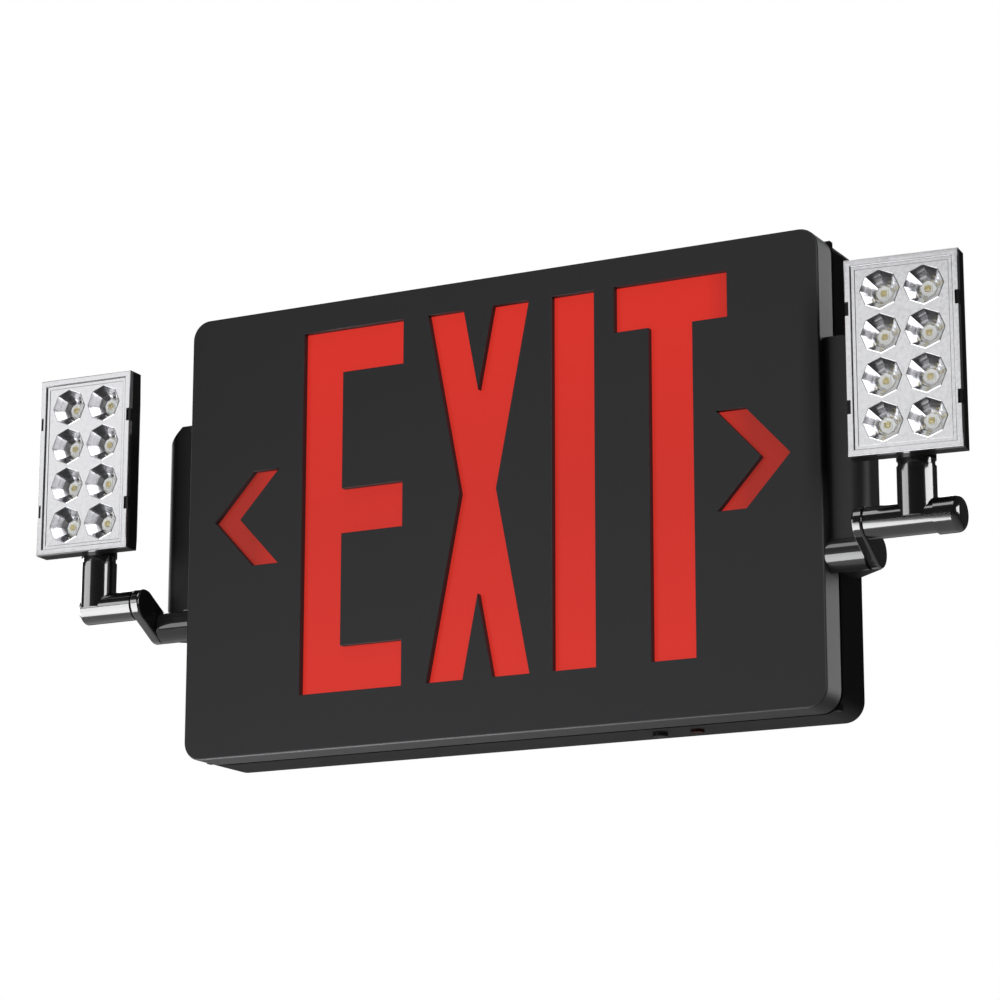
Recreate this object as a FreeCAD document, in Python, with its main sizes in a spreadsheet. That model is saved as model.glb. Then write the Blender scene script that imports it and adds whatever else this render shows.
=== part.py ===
import FreeCAD, Part
import os
import re

import Sketcher
from FreeCAD import Placement, Rotation, Vector

# A wall-mounted emergency exit light: a lit sign in a two-part housing, with a lamp head on a
# jointed arm at each side.
#
# Frame: X runs along the sign, Z is up and the wall is the plane Y = 0. The front faces -Y.
# "Forward" sizes below are distances from the wall, so a piece at forward 10 lies at Y = -10.
# The origin is the middle of the four wall holes. Lengths are in millimetres.

SIZES = [
    # front cover
    ("CoverWidth", 285, "front cover, side to side"),
    ("CoverHeight", 188, "front cover, top to bottom"),
    ("CoverDepth", 14, "front cover with its skirt"),
    ("CoverWall", 2.5, "wall of the skirt"),
    ("FacePlate", 3, "thickness of the face"),
    ("CornerRadius", 8, "outer corners of cover and box"),
    ("FaceEdge", 1, "rounding round the face"),
    # back box
    ("BoxDepth", 22, "back box up to its shoulder"),
    ("BoxWall", 2.5, "side walls of the back box"),
    ("BoxFloor", 2.5, "floor against the wall"),
    ("PartingGap", 2, "dark groove between box and cover"),
    ("LipLap", 5, "how far the lip reaches into the skirt"),
    ("LipRoot", 3, "thick root of the lip inside the box"),
    ("LipWall", 2.2, "thickness of the lip"),
    ("LipClearance", 0.3, "lip to skirt"),
    # corner posts and case screws
    ("PostInset", 11.5, "post axis to the outer faces"),
    ("PostDia", 9, "corner posts and cover bosses"),
    ("CaseScrewDia", 3.5, "shank of the case screws"),
    ("CaseHeadDia", 7, "head of the case screws"),
    ("CaseHeadThick", 2.2, "head of the case screws"),
    ("CaseHeadSunk", 0.4, "head below the back face"),
    ("CaseScrewBite", 8, "case screw in the cover boss"),
    ("ScrewClearance", 0.1, "radial, where a screw bites"),
    ("ScrewPass", 0.2, "radial, where a screw passes"),
    ("PilotSpare", 2, "pilot hole beyond a case screw"),
    ("ShortPilotSpare", 0.5, "pilot hole beyond an inner screw"),
    # inner screws
    ("InnerScrewDia", 3, "shank"),
    ("InnerHeadDia", 5.6, "head"),
    ("InnerHeadThick", 2, "head"),
    ("InnerScrewLong", 6, "shank length"),
    # wall fixing
    ("WallHoleDia", 4.5, "holes for the wall screws"),
    ("WallHoleSpanX", 200, "wall holes, side to side"),
    ("WallHoleSpanZ", 100, "wall holes, top to bottom"),
    ("WireEntryDia", 22.2, "knock-out for the supply"),
    # light chamber
    ("DiffuserThick", 2, "red sheet behind the face"),
    ("TrayForward", 18.5, "back of the light tray from the wall"),
    ("TrayWall", 1.5, "walls and floor of the light tray"),
    ("TrayClearance", 1, "light tray to the lip"),
    ("NotchClearance", 1, "corner notch to the corner post"),
    ("TrayPostDia", 7, "posts that carry the light tray"),
    ("TrayPostX", 110, "posts from the middle"),
    ("TrayPostZ", 62, "posts from the middle"),
    ("StripLength", 230, "sign LED strips"),
    ("StripWidth", 8, "sign LED strips"),
    ("BoardThick", 1.6, "every circuit board"),
    ("SignLedLength", 3.5, "sign LED, along the strip"),
    ("SignLedWidth", 2.8, "sign LED, across the strip"),
    ("SignLedThick", 1.9, "sign LED, off the strip"),
    ("SignLedSpacing", 19, "sign LEDs along the strip"),
    ("SignLedCount", 12, "sign LEDs on each strip"),
    # charger board
    ("ChargerX", 48, "middle of the board"),
    ("ChargerWidth", 84, "board, side to side"),
    ("ChargerHeight", 54, "board, top to bottom"),
    ("ChargerEdgeGap", 5.5, "board to the bottom wall"),
    ("StandoffHeight", 5, "board above the floor"),
    ("StandoffDia", 7, "board standoffs"),
    ("StandoffInset", 4, "board standoffs from its edges"),
    ("RelayWidth", 19, ""),
    ("RelayHeight", 15, ""),
    ("RelayDeep", 8.5, "off the board"),
    ("RelayX", 72, "middle of the relay"),
    ("RelayRise", 34, "middle of the relay above the board's lower edge"),
    ("CapacitorDia", 8, ""),
    ("CapacitorDeep", 8.2, "off the board"),
    ("CapacitorSpacing", 10, ""),
    ("CapacitorX", 22, "first capacitor"),
    ("CapacitorRise", 28, "row of capacitors above the board's lower edge"),
    ("CapacitorCount", 3, ""),
    ("TerminalWidth", 24, ""),
    ("TerminalHeight", 9, ""),
    ("TerminalDeep", 8.4, "off the board"),
    ("TerminalX", 36, "middle of the block"),
    ("TerminalRise", 47, "middle of the block above the board's lower edge"),
    ("TerminalHoleDia", 3, "wire holes"),
    ("TerminalHoleDeep", 6.3, "wire holes"),
    ("TerminalSpacing", 5.5, "wire holes"),
    ("TerminalCount", 4, "wire holes"),
    # test button, its switch and the status light, in the bottom wall
    ("ButtonX", 62, "middle of the button"),
    ("ButtonDia", 6, "button through the wall"),
    ("ButtonProud", 1.5, "button beyond the bottom wall"),
    ("ButtonTravel", 1, "stroke"),
    ("CollarDia", 8.5, "collar that keeps the button in"),
    ("CollarThick", 1.5, ""),
    ("StemDia", 3, "stem into the switch"),
    ("StemEntered", 1, "stem in the switch at rest"),
    ("SwitchSide", 8, "switch, square"),
    ("SwitchDeep", 7, "switch, off the board"),
    ("SwitchOverhang", 1, "switch beyond the board edge"),
    ("LensX", 78, "middle of the status lens"),
    ("LensDia", 4, ""),
    ("LensFlangeDia", 5.5, ""),
    ("LensFlangeThick", 1, ""),
    ("StatusLedDia", 3, ""),
    ("StatusLedLong", 5, ""),
    ("StatusLedOverhang", 1.5, "beyond the board edge"),
    # battery pack
    ("BatteryX", -60, "middle of the pack"),
    ("BatteryRise", 56, "middle of the pack above the underside"),
    ("CellDia", 14.4, "one wrapped cell"),
    ("CellSpacing", 14, "cells side by side"),
    ("CellLong", 50, ""),
    ("CellCount", 4, ""),
    ("StrapThick", 0.8, "steel strap"),
    ("StrapWidth", 12, ""),
    ("StrapFoot", 9, "foot on its boss"),
    ("StrapBossDia", 8, ""),
    ("StrapBossHeight", 4, ""),
    # transformer
    ("TransformerX", 55, "middle"),
    ("TransformerDrop", 68, "middle, below the top"),
    ("CoreWidth", 34, "lamination"),
    ("CoreHeight", 28, "lamination"),
    ("CoreStack", 9, "lamination stack"),
    ("CoreWindow", 5, "each window, side to side"),
    ("CoreWindowHeight", 15, "each window, top to bottom"),
    ("CoreLimb", 10, "middle limb"),
    ("CoilClearance", 0.2, "coil to the iron"),
    ("CoilOverhang", 3, "coil in front of and behind the core"),
    ("CoreBossDia", 5.6, ""),
    ("CoreScrewLong", 12, "shank length"),
    # side pods
    ("PodWidth", 15.5, "pod beyond the housing"),
    ("PodForward", 33, "front of the pod"),
    ("PodOuterBack", 19, "back of the pod at its outer side"),
    ("PodInnerBack", 6, "back of the pod at the housing"),
    ("PodTop", 50.5, "top of the pod above the middle"),
    ("PodBottom", 39.5, "bottom of the pod below the middle"),
    ("PodChamfer", 8, "upper outer corner"),
    ("PodWall", 2, ""),
    ("PodSlopeWall", 3, "sloping back, measured along the depth"),
    ("PodEdge", 6, "rounding of the front outer edge"),
    ("PodScrewForward", 15.5, "pod screws from the wall"),
    ("PodScrewUpperZ", 38, ""),
    ("PodScrewLowerZ", -20, ""),
    ("PodBossDia", 6, ""),
    ("PodBossLong", 7, ""),
    ("LampWireDia", 7, "lamp wires into the pod"),
    # arm
    ("SwingForward", 31, "swing axis from the wall"),
    ("SwingZ", -35.5, "swing axis"),
    ("TiltForward", 44.4, "tilt axis from the wall"),
    ("TiltZ", -27.5, "tilt axis"),
    ("BarrelDia", 13, "pod barrel and link ends"),
    ("PivotDia", 8, "link spigots"),
    ("PivotClearance", 0.05, "radial running clearance"),
    ("JointGap", 0.3, "between faces that turn past each other"),
    ("LinkThick", 4.5, "offset link"),
    ("LinkEdge", 1, "rounding of the link"),
    ("WireBoreDia", 4.5, "bore of the spigots"),
    ("NutRoomDia", 11, "counterbore for washer and nut"),
    ("SwingNutRoom", 5, "depth of the pod counterbore"),
    ("TiltShoulderIn", 3, "nut shoulder of the tee, short of the stem axis"),
    ("PivotWasherThick", 0.8, ""),
    ("PivotNutThick", 3, ""),
    ("PivotNutDia", 10.4, "washer and nut"),
    ("StemOut", 40.2, "stem axis beyond the housing"),
    ("TeeDia", 12.5, "tee barrel"),
    ("StemOuterDia", 15, "upright stem of the tee"),
    ("TeeBeyondStem", 0.6, "right barrel past the stem"),
    ("ElbowReach", 5, "left barrel past the stem axis"),
    ("CapPlugLong", 1.5, "end cap in the counterbore"),
    ("CapClearance", 0.1, "radial, cap plug"),
    ("LongCapLong", 10, "round cap on the right arm"),
    ("LongCapDia", 14, ""),
    ("LongCapEdge", 3, ""),
    ("BevelCapLong", 3, "bevelled cap on the left arm"),
    ("BevelCapEdge", 2.6, ""),
    # pan post
    ("PostSpigotDia", 9, "spigot in the stem"),
    ("PostSpigotLong", 11.5, "spigot below its collar"),
    ("PostCollarDia", 14, ""),
    ("PostCollarThick", 2.2, ""),
    ("PostShankDia", 6, "shank through the head"),
    ("PostBoreDia", 3.5, "for the lamp wires"),
    ("PostNutDia", 10.4, ""),
    ("PostNutThick", 4, ""),
    ("PanSocketFloor", 0.5, "below the spigot end"),
    ("PanGrooveDrop", 7.5, "groove below the collar"),
    ("PanGrooveWide", 3.4, ""),
    ("PanGrooveDia", 6.6, ""),
    ("PanScrewDia", 2.8, ""),
    ("PanScrewTip", 0.4, "tip short of the groove floor"),
    # head
    ("HeadBottom", -5.5, "underside of the heads"),
    ("HeadWidth", 44, ""),
    ("HeadHeight", 76, ""),
    ("HeadFront", 14, "face of the head forward of the stem"),
    ("FlangeThick", 1.5, "reflector flange"),
    ("RimBack", 6.5, "back of the straight rim, forward of the stem"),
    ("HeadTaper", 31, "degrees, tapered back"),
    ("HeadRear", 8, "rear face behind the stem"),
    ("BoardRoomWidth", 38, "pocket behind the reflector"),
    ("BoardRoomHeight", 70, ""),
    ("BoardClearance", 0.2, "board in its pocket"),
    ("NutPocketWidth", 24, "inner pocket"),
    ("NutPocketBottom", 13, "inner pocket above the underside"),
    ("NutPocketTop", 63, ""),
    ("NutPocketRear", 5.5, "inner pocket behind the stem"),
    ("NeckDia", 15, "round neck over the stem"),
    ("CoolingGrooveWide", 2, "grooves in the rear face"),
    ("CoolingGrooveDeep", 1.6, ""),
    ("CoolingGrooveSpacing", 4.5, ""),
    ("CoolingGrooveCount", 5, ""),
    ("CoolingGrooveHigh", 46, ""),
    ("CupSpacing", 17, "cups, both ways"),
    ("CupMouthDia", 15.2, ""),
    ("CupThroatDia", 6, ""),
    ("CupDepth", 6.5, "from the face of the flange"),
    ("CupWall", 0.6, ""),
    ("CupColumns", 2, ""),
    ("CupRows", 4, ""),
    ("BorderWide", 2.6, "raised border of the flange"),
    ("BorderHigh", 0.8, ""),
    ("TabHigh", 5, "hooks that hold the flange"),
    ("TabWide", 1.4, ""),
    ("TabRise", 19, "hooks above and below the middle"),
    ("TabClearance", 0.2, ""),
    ("HeadLedSide", 3.5, ""),
    ("HeadLedThick", 1.2, ""),
    ("AimRight", 5, "degrees about the stem"),
    ("AimLeft", 2.4, "degrees about the stem"),
]

doc = FreeCAD.newDocument("ExitLight")
sheet = doc.addObject("Spreadsheet::Sheet", "Sizes")
for row, (alias, size, note) in enumerate(SIZES, 1):
    sheet.set(f"A{row}", alias)
    sheet.set(f"B{row}", str(size))
    sheet.setAlias(f"B{row}", alias)
    sheet.set(f"C{row}", note)
doc.recompute()

ALIAS = re.compile(r"\b(" + "|".join(alias for alias, size, note in SIZES) + r")\b")

# Places that several pieces share, worked out from the sheet.
SHOULDER = "BoxDepth"
COVER_BACK = "(BoxDepth + PartingGap)"
FACE = "(BoxDepth + PartingGap + CoverDepth)"
FACE_BACK = f"({FACE} - FacePlate)"
CHAMBER_FRONT = f"({FACE_BACK} - DiffuserThick)"
HALF_WIDTH = "(CoverWidth / 2)"
HALF_HEIGHT = "(CoverHeight / 2)"
POST_X = f"({HALF_WIDTH} - PostInset)"
POST_Z = f"({HALF_HEIGHT} - PostInset)"
LIP_INSET = "(CoverWall + LipClearance)"
TRAY_INSET = "(CoverWall + LipClearance + LipWall + TrayClearance)"
TRAY_HALF_WIDTH = f"({HALF_WIDTH} - {TRAY_INSET})"
TRAY_HALF_HEIGHT = f"({HALF_HEIGHT} - {TRAY_INSET})"
NOTCH_X = f"({POST_X} - PostDia / 2 - NotchClearance)"
NOTCH_Z = f"({POST_Z} - PostDia / 2 - NotchClearance)"
BOARD_BACK = "(BoxFloor + StandoffHeight)"
BOARD_FACE = f"({BOARD_BACK} + BoardThick)"
BOTTOM = f"(-{HALF_HEIGHT})"
BOTTOM_INSIDE = f"({BOTTOM} + BoxWall)"
CHARGER_BOTTOM = f"({BOTTOM_INSIDE} + ChargerEdgeGap)"
CHARGER_Z = f"({CHARGER_BOTTOM} + ChargerHeight / 2)"
BUTTON_FORWARD = f"({BOARD_FACE} + SwitchDeep / 2)"
SWITCH_BOTTOM = f"({CHARGER_BOTTOM} - SwitchOverhang)"
STRAP_TOP = "(BoxFloor + CellDia + StrapThick)"
PACK_HALF = "((CellSpacing * (CellCount - 1) + CellDia) / 2)"
STRAP_SPAN = f"({PACK_HALF} + StrapThick + StrapFoot / 2)"
CORE_BACK = "(BoxFloor + CoilOverhang + CoilClearance)"
BATTERY_Z = f"({BOTTOM} + BatteryRise)"
TRANSFORMER_Z = f"({HALF_HEIGHT} - TransformerDrop)"
RELAY_Z = f"({CHARGER_BOTTOM} + RelayRise)"
CAPACITOR_Z = f"({CHARGER_BOTTOM} + CapacitorRise)"
TERMINAL_Z = f"({CHARGER_BOTTOM} + TerminalRise)"
POD_OUTER = f"({HALF_WIDTH} + PodWidth)"
LINK_INNER = f"({POD_OUTER} + JointGap)"
LINK_OUTER = f"({LINK_INNER} + LinkThick)"
TEE_INNER = f"({LINK_OUTER} + JointGap)"
STEM_X = f"({HALF_WIDTH} + StemOut)"
TEE_OUTER = {
    "left": f"({STEM_X} + ElbowReach)",
    "right": f"({STEM_X} + StemOuterDia / 2 + TeeBeyondStem)",
}
TEE_TOP = "(HeadBottom - PostCollarThick - JointGap)"
PIVOT_HOLE = "(PivotDia + 2 * PivotClearance)"
SWING_SHOULDER = f"({HALF_WIDTH} + SwingNutRoom)"
TILT_SHOULDER = f"({STEM_X} - TiltShoulderIn)"
STACK = "(JointGap + PivotWasherThick + PivotNutThick)"
SWING_LOW = "(SwingZ + BarrelDia / 2)"
PAN_GROOVE_Z = "(HeadBottom - PostCollarThick - PanGrooveDrop)"
CAP_PLUG_DIA = "(NutRoomDia - 2 * CapClearance)"

SIDES = (("left", -1, "AimLeft"), ("right", 1, "AimRight"))


def bound(text):
    """An expression with every alias named as a cell of the sheet."""
    return ALIAS.sub(r"Sizes.\1", str(text))


def value(text):
    """What an expression comes to now, in millimetres."""
    return float(sheet.evalExpression(bound(text)))


def new_body(name):
    body = doc.addObject("PartDesign::Body", name)
    body.Label = name
    return body


def sketch(body, plane, offset="0"):
    """A sketch on one of the body's own planes, moved along the plane's normal."""
    flat = body.newObject("Sketcher::SketchObject", "Sketch")
    support = next(item for item in body.Origin.OriginFeatures if item.Role == plane)
    flat.AttachmentSupport = [(support, "")]
    flat.MapMode = "FlatFace"
    flat.setExpression("AttachmentOffset.Base.z", bound(offset))
    return flat


def facing(body, forward):
    """A sketch parallel to the wall: its x is X, its y is Z and its normal points forward."""
    return sketch(body, "XZ_Plane", forward)


def level(body, height):
    """A level sketch: its x is X, its y is Y and its normal points up."""
    return sketch(body, "XY_Plane", height)


def across(body, station):
    """A sketch across the sign: its x is Y, its y is Z and its normal points along X."""
    return sketch(body, "YZ_Plane", station)


def tie(flat, number, text):
    flat.setExpression(f"Constraints[{number}]", bound(text))


def pin(flat, curve, point, x, y):
    for kind, text in (("DistanceX", x), ("DistanceY", y)):
        tie(flat, flat.addConstraint(Sketcher.Constraint(kind, curve, point, value(text))), text)


def outline(flat, corners):
    """A closed run of straight lines with each corner tied to the sheet."""
    spots = [Vector(value(x), value(y), 0) for x, y in corners]
    first = flat.GeometryCount
    for here, there in zip(spots, spots[1:] + spots[:1]):
        flat.addGeometry(Part.LineSegment(here, there))
    for number, (x, y) in enumerate(corners):
        after = first + (number + 1) % len(corners)
        flat.addConstraint(Sketcher.Constraint("Coincident", first + number, 2, after, 1))
        pin(flat, first + number, 1, x, y)


def rectangle(flat, width, height, x="0", y="0"):
    left, right = f"({x}) - ({width}) / 2", f"({x}) + ({width}) / 2"
    low, high = f"({y}) - ({height}) / 2", f"({y}) + ({height}) / 2"
    outline(flat, [(left, low), (right, low), (right, high), (left, high)])


def circle(flat, diameter, x="0", y="0"):
    size = value(diameter)
    ring = flat.addGeometry(Part.Circle(Vector(value(x), value(y), 0), Vector(0, 0, 1), size / 2))
    pin(flat, ring, 3, x, y)
    tie(flat, flat.addConstraint(Sketcher.Constraint("Diameter", ring, size)), diameter)


def stadium(flat, diameter, start, end):
    """Two round ends joined by two tangent lines."""
    ends = [Vector(value(x), value(y), 0) for x, y in (start, end)]
    radius = value(diameter) / 2
    along = (ends[1] - ends[0]).normalize()
    aside = Vector(-along.y, along.x, 0) * radius
    reach = along * radius
    first = Part.Arc(ends[0] + aside, ends[0] - reach, ends[0] - aside)
    second = Part.Arc(ends[1] - aside, ends[1] + reach, ends[1] + aside)
    lines = [
        Part.LineSegment(ends[0] - aside, ends[1] - aside),
        Part.LineSegment(ends[1] + aside, ends[0] + aside),
    ]
    arcs = [flat.addGeometry(first), flat.addGeometry(second)]
    sides = [flat.addGeometry(line) for line in lines]
    pin(flat, arcs[0], 3, *start)
    pin(flat, arcs[1], 3, *end)
    flat.addConstraint(Sketcher.Constraint("Tangent", arcs[0], 2, sides[0], 1))
    flat.addConstraint(Sketcher.Constraint("Tangent", sides[0], 2, arcs[1], 1))
    flat.addConstraint(Sketcher.Constraint("Tangent", arcs[1], 2, sides[1], 1))
    flat.addConstraint(Sketcher.Constraint("Tangent", sides[1], 2, arcs[0], 1))
    number = flat.addConstraint(Sketcher.Constraint("Diameter", arcs[0], 2 * radius))
    tie(flat, number, diameter)


def grow(body, flat, length, back=False, taper=None):
    """A pad along the sketch's normal, or against it."""
    pad = body.newObject("PartDesign::Pad", "Pad")
    pad.Profile = flat
    pad.Reversed = back
    pad.setExpression("Length", bound(length))
    if taper:
        pad.setExpression("TaperAngle", bound(taper))
    doc.recompute()
    return pad


def cut(body, flat, depth, along=False, taper=None):
    """A pocket against the sketch's normal, or along it. It has to take something away."""
    before = body.Shape.Volume
    pocket = body.newObject("PartDesign::Pocket", "Pocket")
    pocket.Profile = flat
    pocket.Reversed = along
    pocket.setExpression("Length", bound(depth))
    if taper:
        pocket.setExpression("TaperAngle", bound(taper))
    doc.recompute()
    if body.Shape.Volume >= before:
        raise RuntimeError(f"{body.Label}: {pocket.Name} takes nothing away")
    return pocket


def dress(body, kind, size, chosen):
    """A fillet or chamfer on the edges that a test picks."""
    base = body.Tip
    names = [f"Edge{n}" for n, edge in enumerate(base.Shape.Edges, 1) if chosen(edge)]
    if not names:
        raise RuntimeError(f"{body.Label}: no edge for the {kind}")
    trim = body.newObject(f"PartDesign::{kind}", kind)
    trim.Base = (base, names)
    trim.setExpression("Size" if kind == "Chamfer" else "Radius", bound(size))
    doc.recompute()
    return trim


PARALLEL = 0.999


def straight(edge, axis):
    """True for a straight edge along an axis."""
    if edge.Curve.TypeId != "Part::GeomLine":
        return False
    return abs(edge.tangentAt(edge.FirstParameter).dot(axis)) > PARALLEL


def near(a, b):
    return abs(a - b) < 0.01


def corner_edges(half_width, half_height, middle_z="0"):
    """Picks the four edges that run forward at the corners of a rectangle."""
    x, z, mid = value(half_width), value(half_height), value(middle_z)

    def chosen(edge):
        spot = edge.CenterOfMass
        at_corner = near(abs(spot.x), x) and near(abs(spot.z - mid), z)
        return at_corner and straight(edge, Vector(0, 1, 0))

    return chosen


def face_edges(forward):
    """Picks every edge that lies in one plane parallel to the wall."""
    y = -value(forward)

    def chosen(edge):
        box = edge.BoundBox
        return near(box.YMin, y) and near(box.YMax, y)

    return chosen


def mirrored(x, z):
    """The four places at plus and minus x and z."""
    return [(f"{i} * {x}", f"{j} * {z}") for i in (-1, 1) for j in (-1, 1)]


def group(name, solids):
    """Identical loose solids as one sub-part."""
    item = doc.addObject("Part::Feature", name)
    item.Label = name
    item.Shape = Part.makeCompound(solids)
    return item


# ------------------------------------------------------------------ housing


def make_back_box():
    body = new_body("back_box")
    flat = facing(body, "0")
    rectangle(flat, "CoverWidth", "CoverHeight")
    grow(body, flat, "BoxDepth")
    dress(body, "Fillet", "CornerRadius", corner_edges(HALF_WIDTH, HALF_HEIGHT))

    flat = facing(body, SHOULDER)
    rectangle(flat, "CoverWidth - 2 * BoxWall", "CoverHeight - 2 * BoxWall")
    cut(body, flat, "BoxDepth - BoxFloor")
    dress(
        body,
        "Fillet",
        "CornerRadius - BoxWall",
        corner_edges(f"{HALF_WIDTH} - BoxWall", f"{HALF_HEIGHT} - BoxWall"),
    )

    # the lip stands on a thick root inside the shoulder and enters the cover's skirt
    lip_inner = f"{LIP_INSET} + LipWall"
    flat = facing(body, f"{SHOULDER} - LipRoot")
    rectangle(flat, "CoverWidth - BoxWall", "CoverHeight - BoxWall")
    rectangle(flat, f"CoverWidth - 2 * ({lip_inner})", f"CoverHeight - 2 * ({lip_inner})")
    grow(body, flat, "LipRoot")
    flat = facing(body, SHOULDER)
    rectangle(flat, f"CoverWidth - 2 * {LIP_INSET}", f"CoverHeight - 2 * {LIP_INSET}")
    rectangle(flat, f"CoverWidth - 2 * ({lip_inner})", f"CoverHeight - 2 * ({lip_inner})")
    grow(body, flat, "PartingGap + LipLap")
    dress(
        body,
        "Fillet",
        f"CornerRadius - {LIP_INSET}",
        corner_edges(f"{HALF_WIDTH} - {LIP_INSET}", f"{HALF_HEIGHT} - {LIP_INSET}"),
    )

    # posts and bosses on the floor, each with its screw hole
    flat = facing(body, "BoxFloor")
    for x, z in mirrored(POST_X, POST_Z):
        circle(flat, "PostDia", x, z)
    grow(body, flat, "BoxDepth - BoxFloor")
    flat = facing(body, "BoxFloor")
    for x, z in mirrored("TrayPostX", "TrayPostZ"):
        circle(flat, "TrayPostDia", x, z)
    grow(body, flat, "TrayForward - BoxFloor")
    flat = facing(body, "BoxFloor")
    for x, z in charger_corners():
        circle(flat, "StandoffDia", x, z)
    grow(body, flat, "StandoffHeight")
    flat = facing(body, "BoxFloor")
    for x, z in strap_feet():
        circle(flat, "StrapBossDia", x, z)
    grow(body, flat, "StrapBossHeight")
    flat = facing(body, "BoxFloor")
    for x, z in core_feet():
        circle(flat, "CoreBossDia", x, z)
    grow(body, flat, f"{CORE_BACK} - BoxFloor")

    pilot = "InnerScrewDia + 2 * ScrewClearance"
    seats = [
        ("TrayForward", mirrored("TrayPostX", "TrayPostZ"), "TrayWall"),
        (BOARD_BACK, charger_corners(), "BoardThick"),
        ("BoxFloor + StrapBossHeight", strap_feet(), "StrapThick"),
    ]
    for seat, places, held in seats:
        flat = facing(body, seat)
        for x, z in places:
            circle(flat, pilot, x, z)
        cut(body, flat, f"InnerScrewLong - {held} + ShortPilotSpare")
    flat = facing(body, CORE_BACK)
    for x, z in core_feet():
        circle(flat, pilot, x, z)
    cut(body, flat, "CoreScrewLong - CoreStack + ShortPilotSpare")

    # case screws come in from the back, with their heads sunk
    flat = facing(body, "0")
    for x, z in mirrored(POST_X, POST_Z):
        circle(flat, "CaseScrewDia + 2 * ScrewPass", x, z)
    cut(body, flat, COVER_BACK, along=True)
    flat = facing(body, "0")
    for x, z in mirrored(POST_X, POST_Z):
        circle(flat, "CaseHeadDia + 2 * ScrewPass", x, z)
    cut(body, flat, "CaseHeadSunk + CaseHeadThick", along=True)

    # wall holes and wire entry
    flat = facing(body, "0")
    for x, z in mirrored("WallHoleSpanX / 2", "WallHoleSpanZ / 2"):
        circle(flat, "WallHoleDia", x, z)
    circle(flat, "WireEntryDia")
    cut(body, flat, "BoxFloor", along=True)

    # button and status lens in the bottom wall
    flat = level(body, BOTTOM)
    circle(flat, "ButtonDia + 2 * PivotClearance", "ButtonX", f"-{BUTTON_FORWARD}")
    circle(flat, "LensDia + ScrewClearance", "LensX", f"-{BUTTON_FORWARD}")
    cut(body, flat, "BoxWall", along=True)

    # lamp wires and pod screws through both side walls
    for side in (-1, 1):
        flat = across(body, f"{side} * {HALF_WIDTH}")
        circle(flat, "LampWireDia", "-PodScrewForward", "(PodScrewUpperZ + PodScrewLowerZ) / 2")
        for height in ("PodScrewUpperZ", "PodScrewLowerZ"):
            circle(flat, "InnerScrewDia + 2 * ScrewPass", "-PodScrewForward", height)
        cut(body, flat, "BoxWall", along=side < 0)
    return body


def make_front_cover():
    body = new_body("front_cover")
    flat = facing(body, COVER_BACK)
    rectangle(flat, "CoverWidth", "CoverHeight")
    grow(body, flat, "CoverDepth")
    dress(body, "Fillet", "CornerRadius", corner_edges(HALF_WIDTH, HALF_HEIGHT))
    flat = facing(body, COVER_BACK)
    rectangle(flat, "CoverWidth - 2 * CoverWall", "CoverHeight - 2 * CoverWall")
    cut(body, flat, "CoverDepth - FacePlate", along=True)
    dress(
        body,
        "Fillet",
        "CornerRadius - CoverWall",
        corner_edges(f"{HALF_WIDTH} - CoverWall", f"{HALF_HEIGHT} - CoverWall"),
    )
    dress(body, "Fillet", "FaceEdge", face_edges(FACE))
    flat = facing(body, FACE_BACK)
    for x, z in mirrored(POST_X, POST_Z):
        circle(flat, "PostDia", x, z)
    grow(body, flat, f"{FACE_BACK} - {SHOULDER}", back=True)
    flat = facing(body, SHOULDER)
    for x, z in mirrored(POST_X, POST_Z):
        circle(flat, "CaseScrewDia + 2 * ScrewClearance", x, z)
    cut(body, flat, "CaseScrewBite + PilotSpare", along=True)
    return body


def notched(flat, inset="0"):
    """A sheet as large as the chamber, with its corners cut away round the posts."""
    x, z = f"({TRAY_HALF_WIDTH} - {inset})", f"({TRAY_HALF_HEIGHT} - {inset})"
    in_x, in_z = f"({NOTCH_X} - {inset})", f"({NOTCH_Z} - {inset})"
    corners = []
    for i, j, first in ((1, -1, True), (1, 1, False), (-1, 1, True), (-1, -1, False)):
        steps = [(in_x, z), (in_x, in_z), (x, in_z)]
        for step_x, step_z in steps if first else reversed(steps):
            corners.append((f"{i} * {step_x}", f"{j} * {step_z}"))
    outline(flat, corners)


def make_light_chamber():
    sheet_body = new_body("red_diffuser")
    flat = facing(sheet_body, CHAMBER_FRONT)
    notched(flat)
    grow(sheet_body, flat, "DiffuserThick")

    tray = new_body("light_tray")
    flat = facing(tray, "TrayForward")
    notched(flat)
    grow(tray, flat, f"{CHAMBER_FRONT} - TrayForward")
    flat = facing(tray, CHAMBER_FRONT)
    notched(flat, "TrayWall")
    cut(tray, flat, f"{CHAMBER_FRONT} - TrayForward - TrayWall")
    flat = facing(tray, "TrayForward")
    for x, z in mirrored("TrayPostX", "TrayPostZ"):
        circle(flat, "InnerScrewDia + 2 * ScrewPass", x, z)
    circle(flat, "LampWireDia")
    cut(tray, flat, "TrayWall", along=True)

    # a strip of LEDs along the top wall of the tray and one along the bottom wall
    middle = f"-(TrayForward + TrayWall + {CHAMBER_FRONT}) / 2"
    wall = f"({TRAY_HALF_HEIGHT} - TrayWall)"
    lights = []
    for name, way in (("upper", 1), ("lower", -1)):
        strip = new_body(f"led_strip_{name}")
        flat = level(strip, f"{way} * {wall}")
        rectangle(flat, "StripLength", "StripWidth", "0", middle)
        grow(strip, flat, "BoardThick", back=way > 0)
        row = new_body(f"leds_{name}")
        flat = level(row, f"{way} * ({wall} - BoardThick)")
        rectangle(
            flat, "SignLedLength", "SignLedWidth", "-SignLedSpacing * (SignLedCount - 1) / 2", middle
        )
        pad = grow(row, flat, "SignLedThick", back=way > 0)
        repeat(row, pad, flat, "SignLedSpacing", "SignLedCount")
        lights += row.Shape.Solids
    group("sign_leds", lights)


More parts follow.
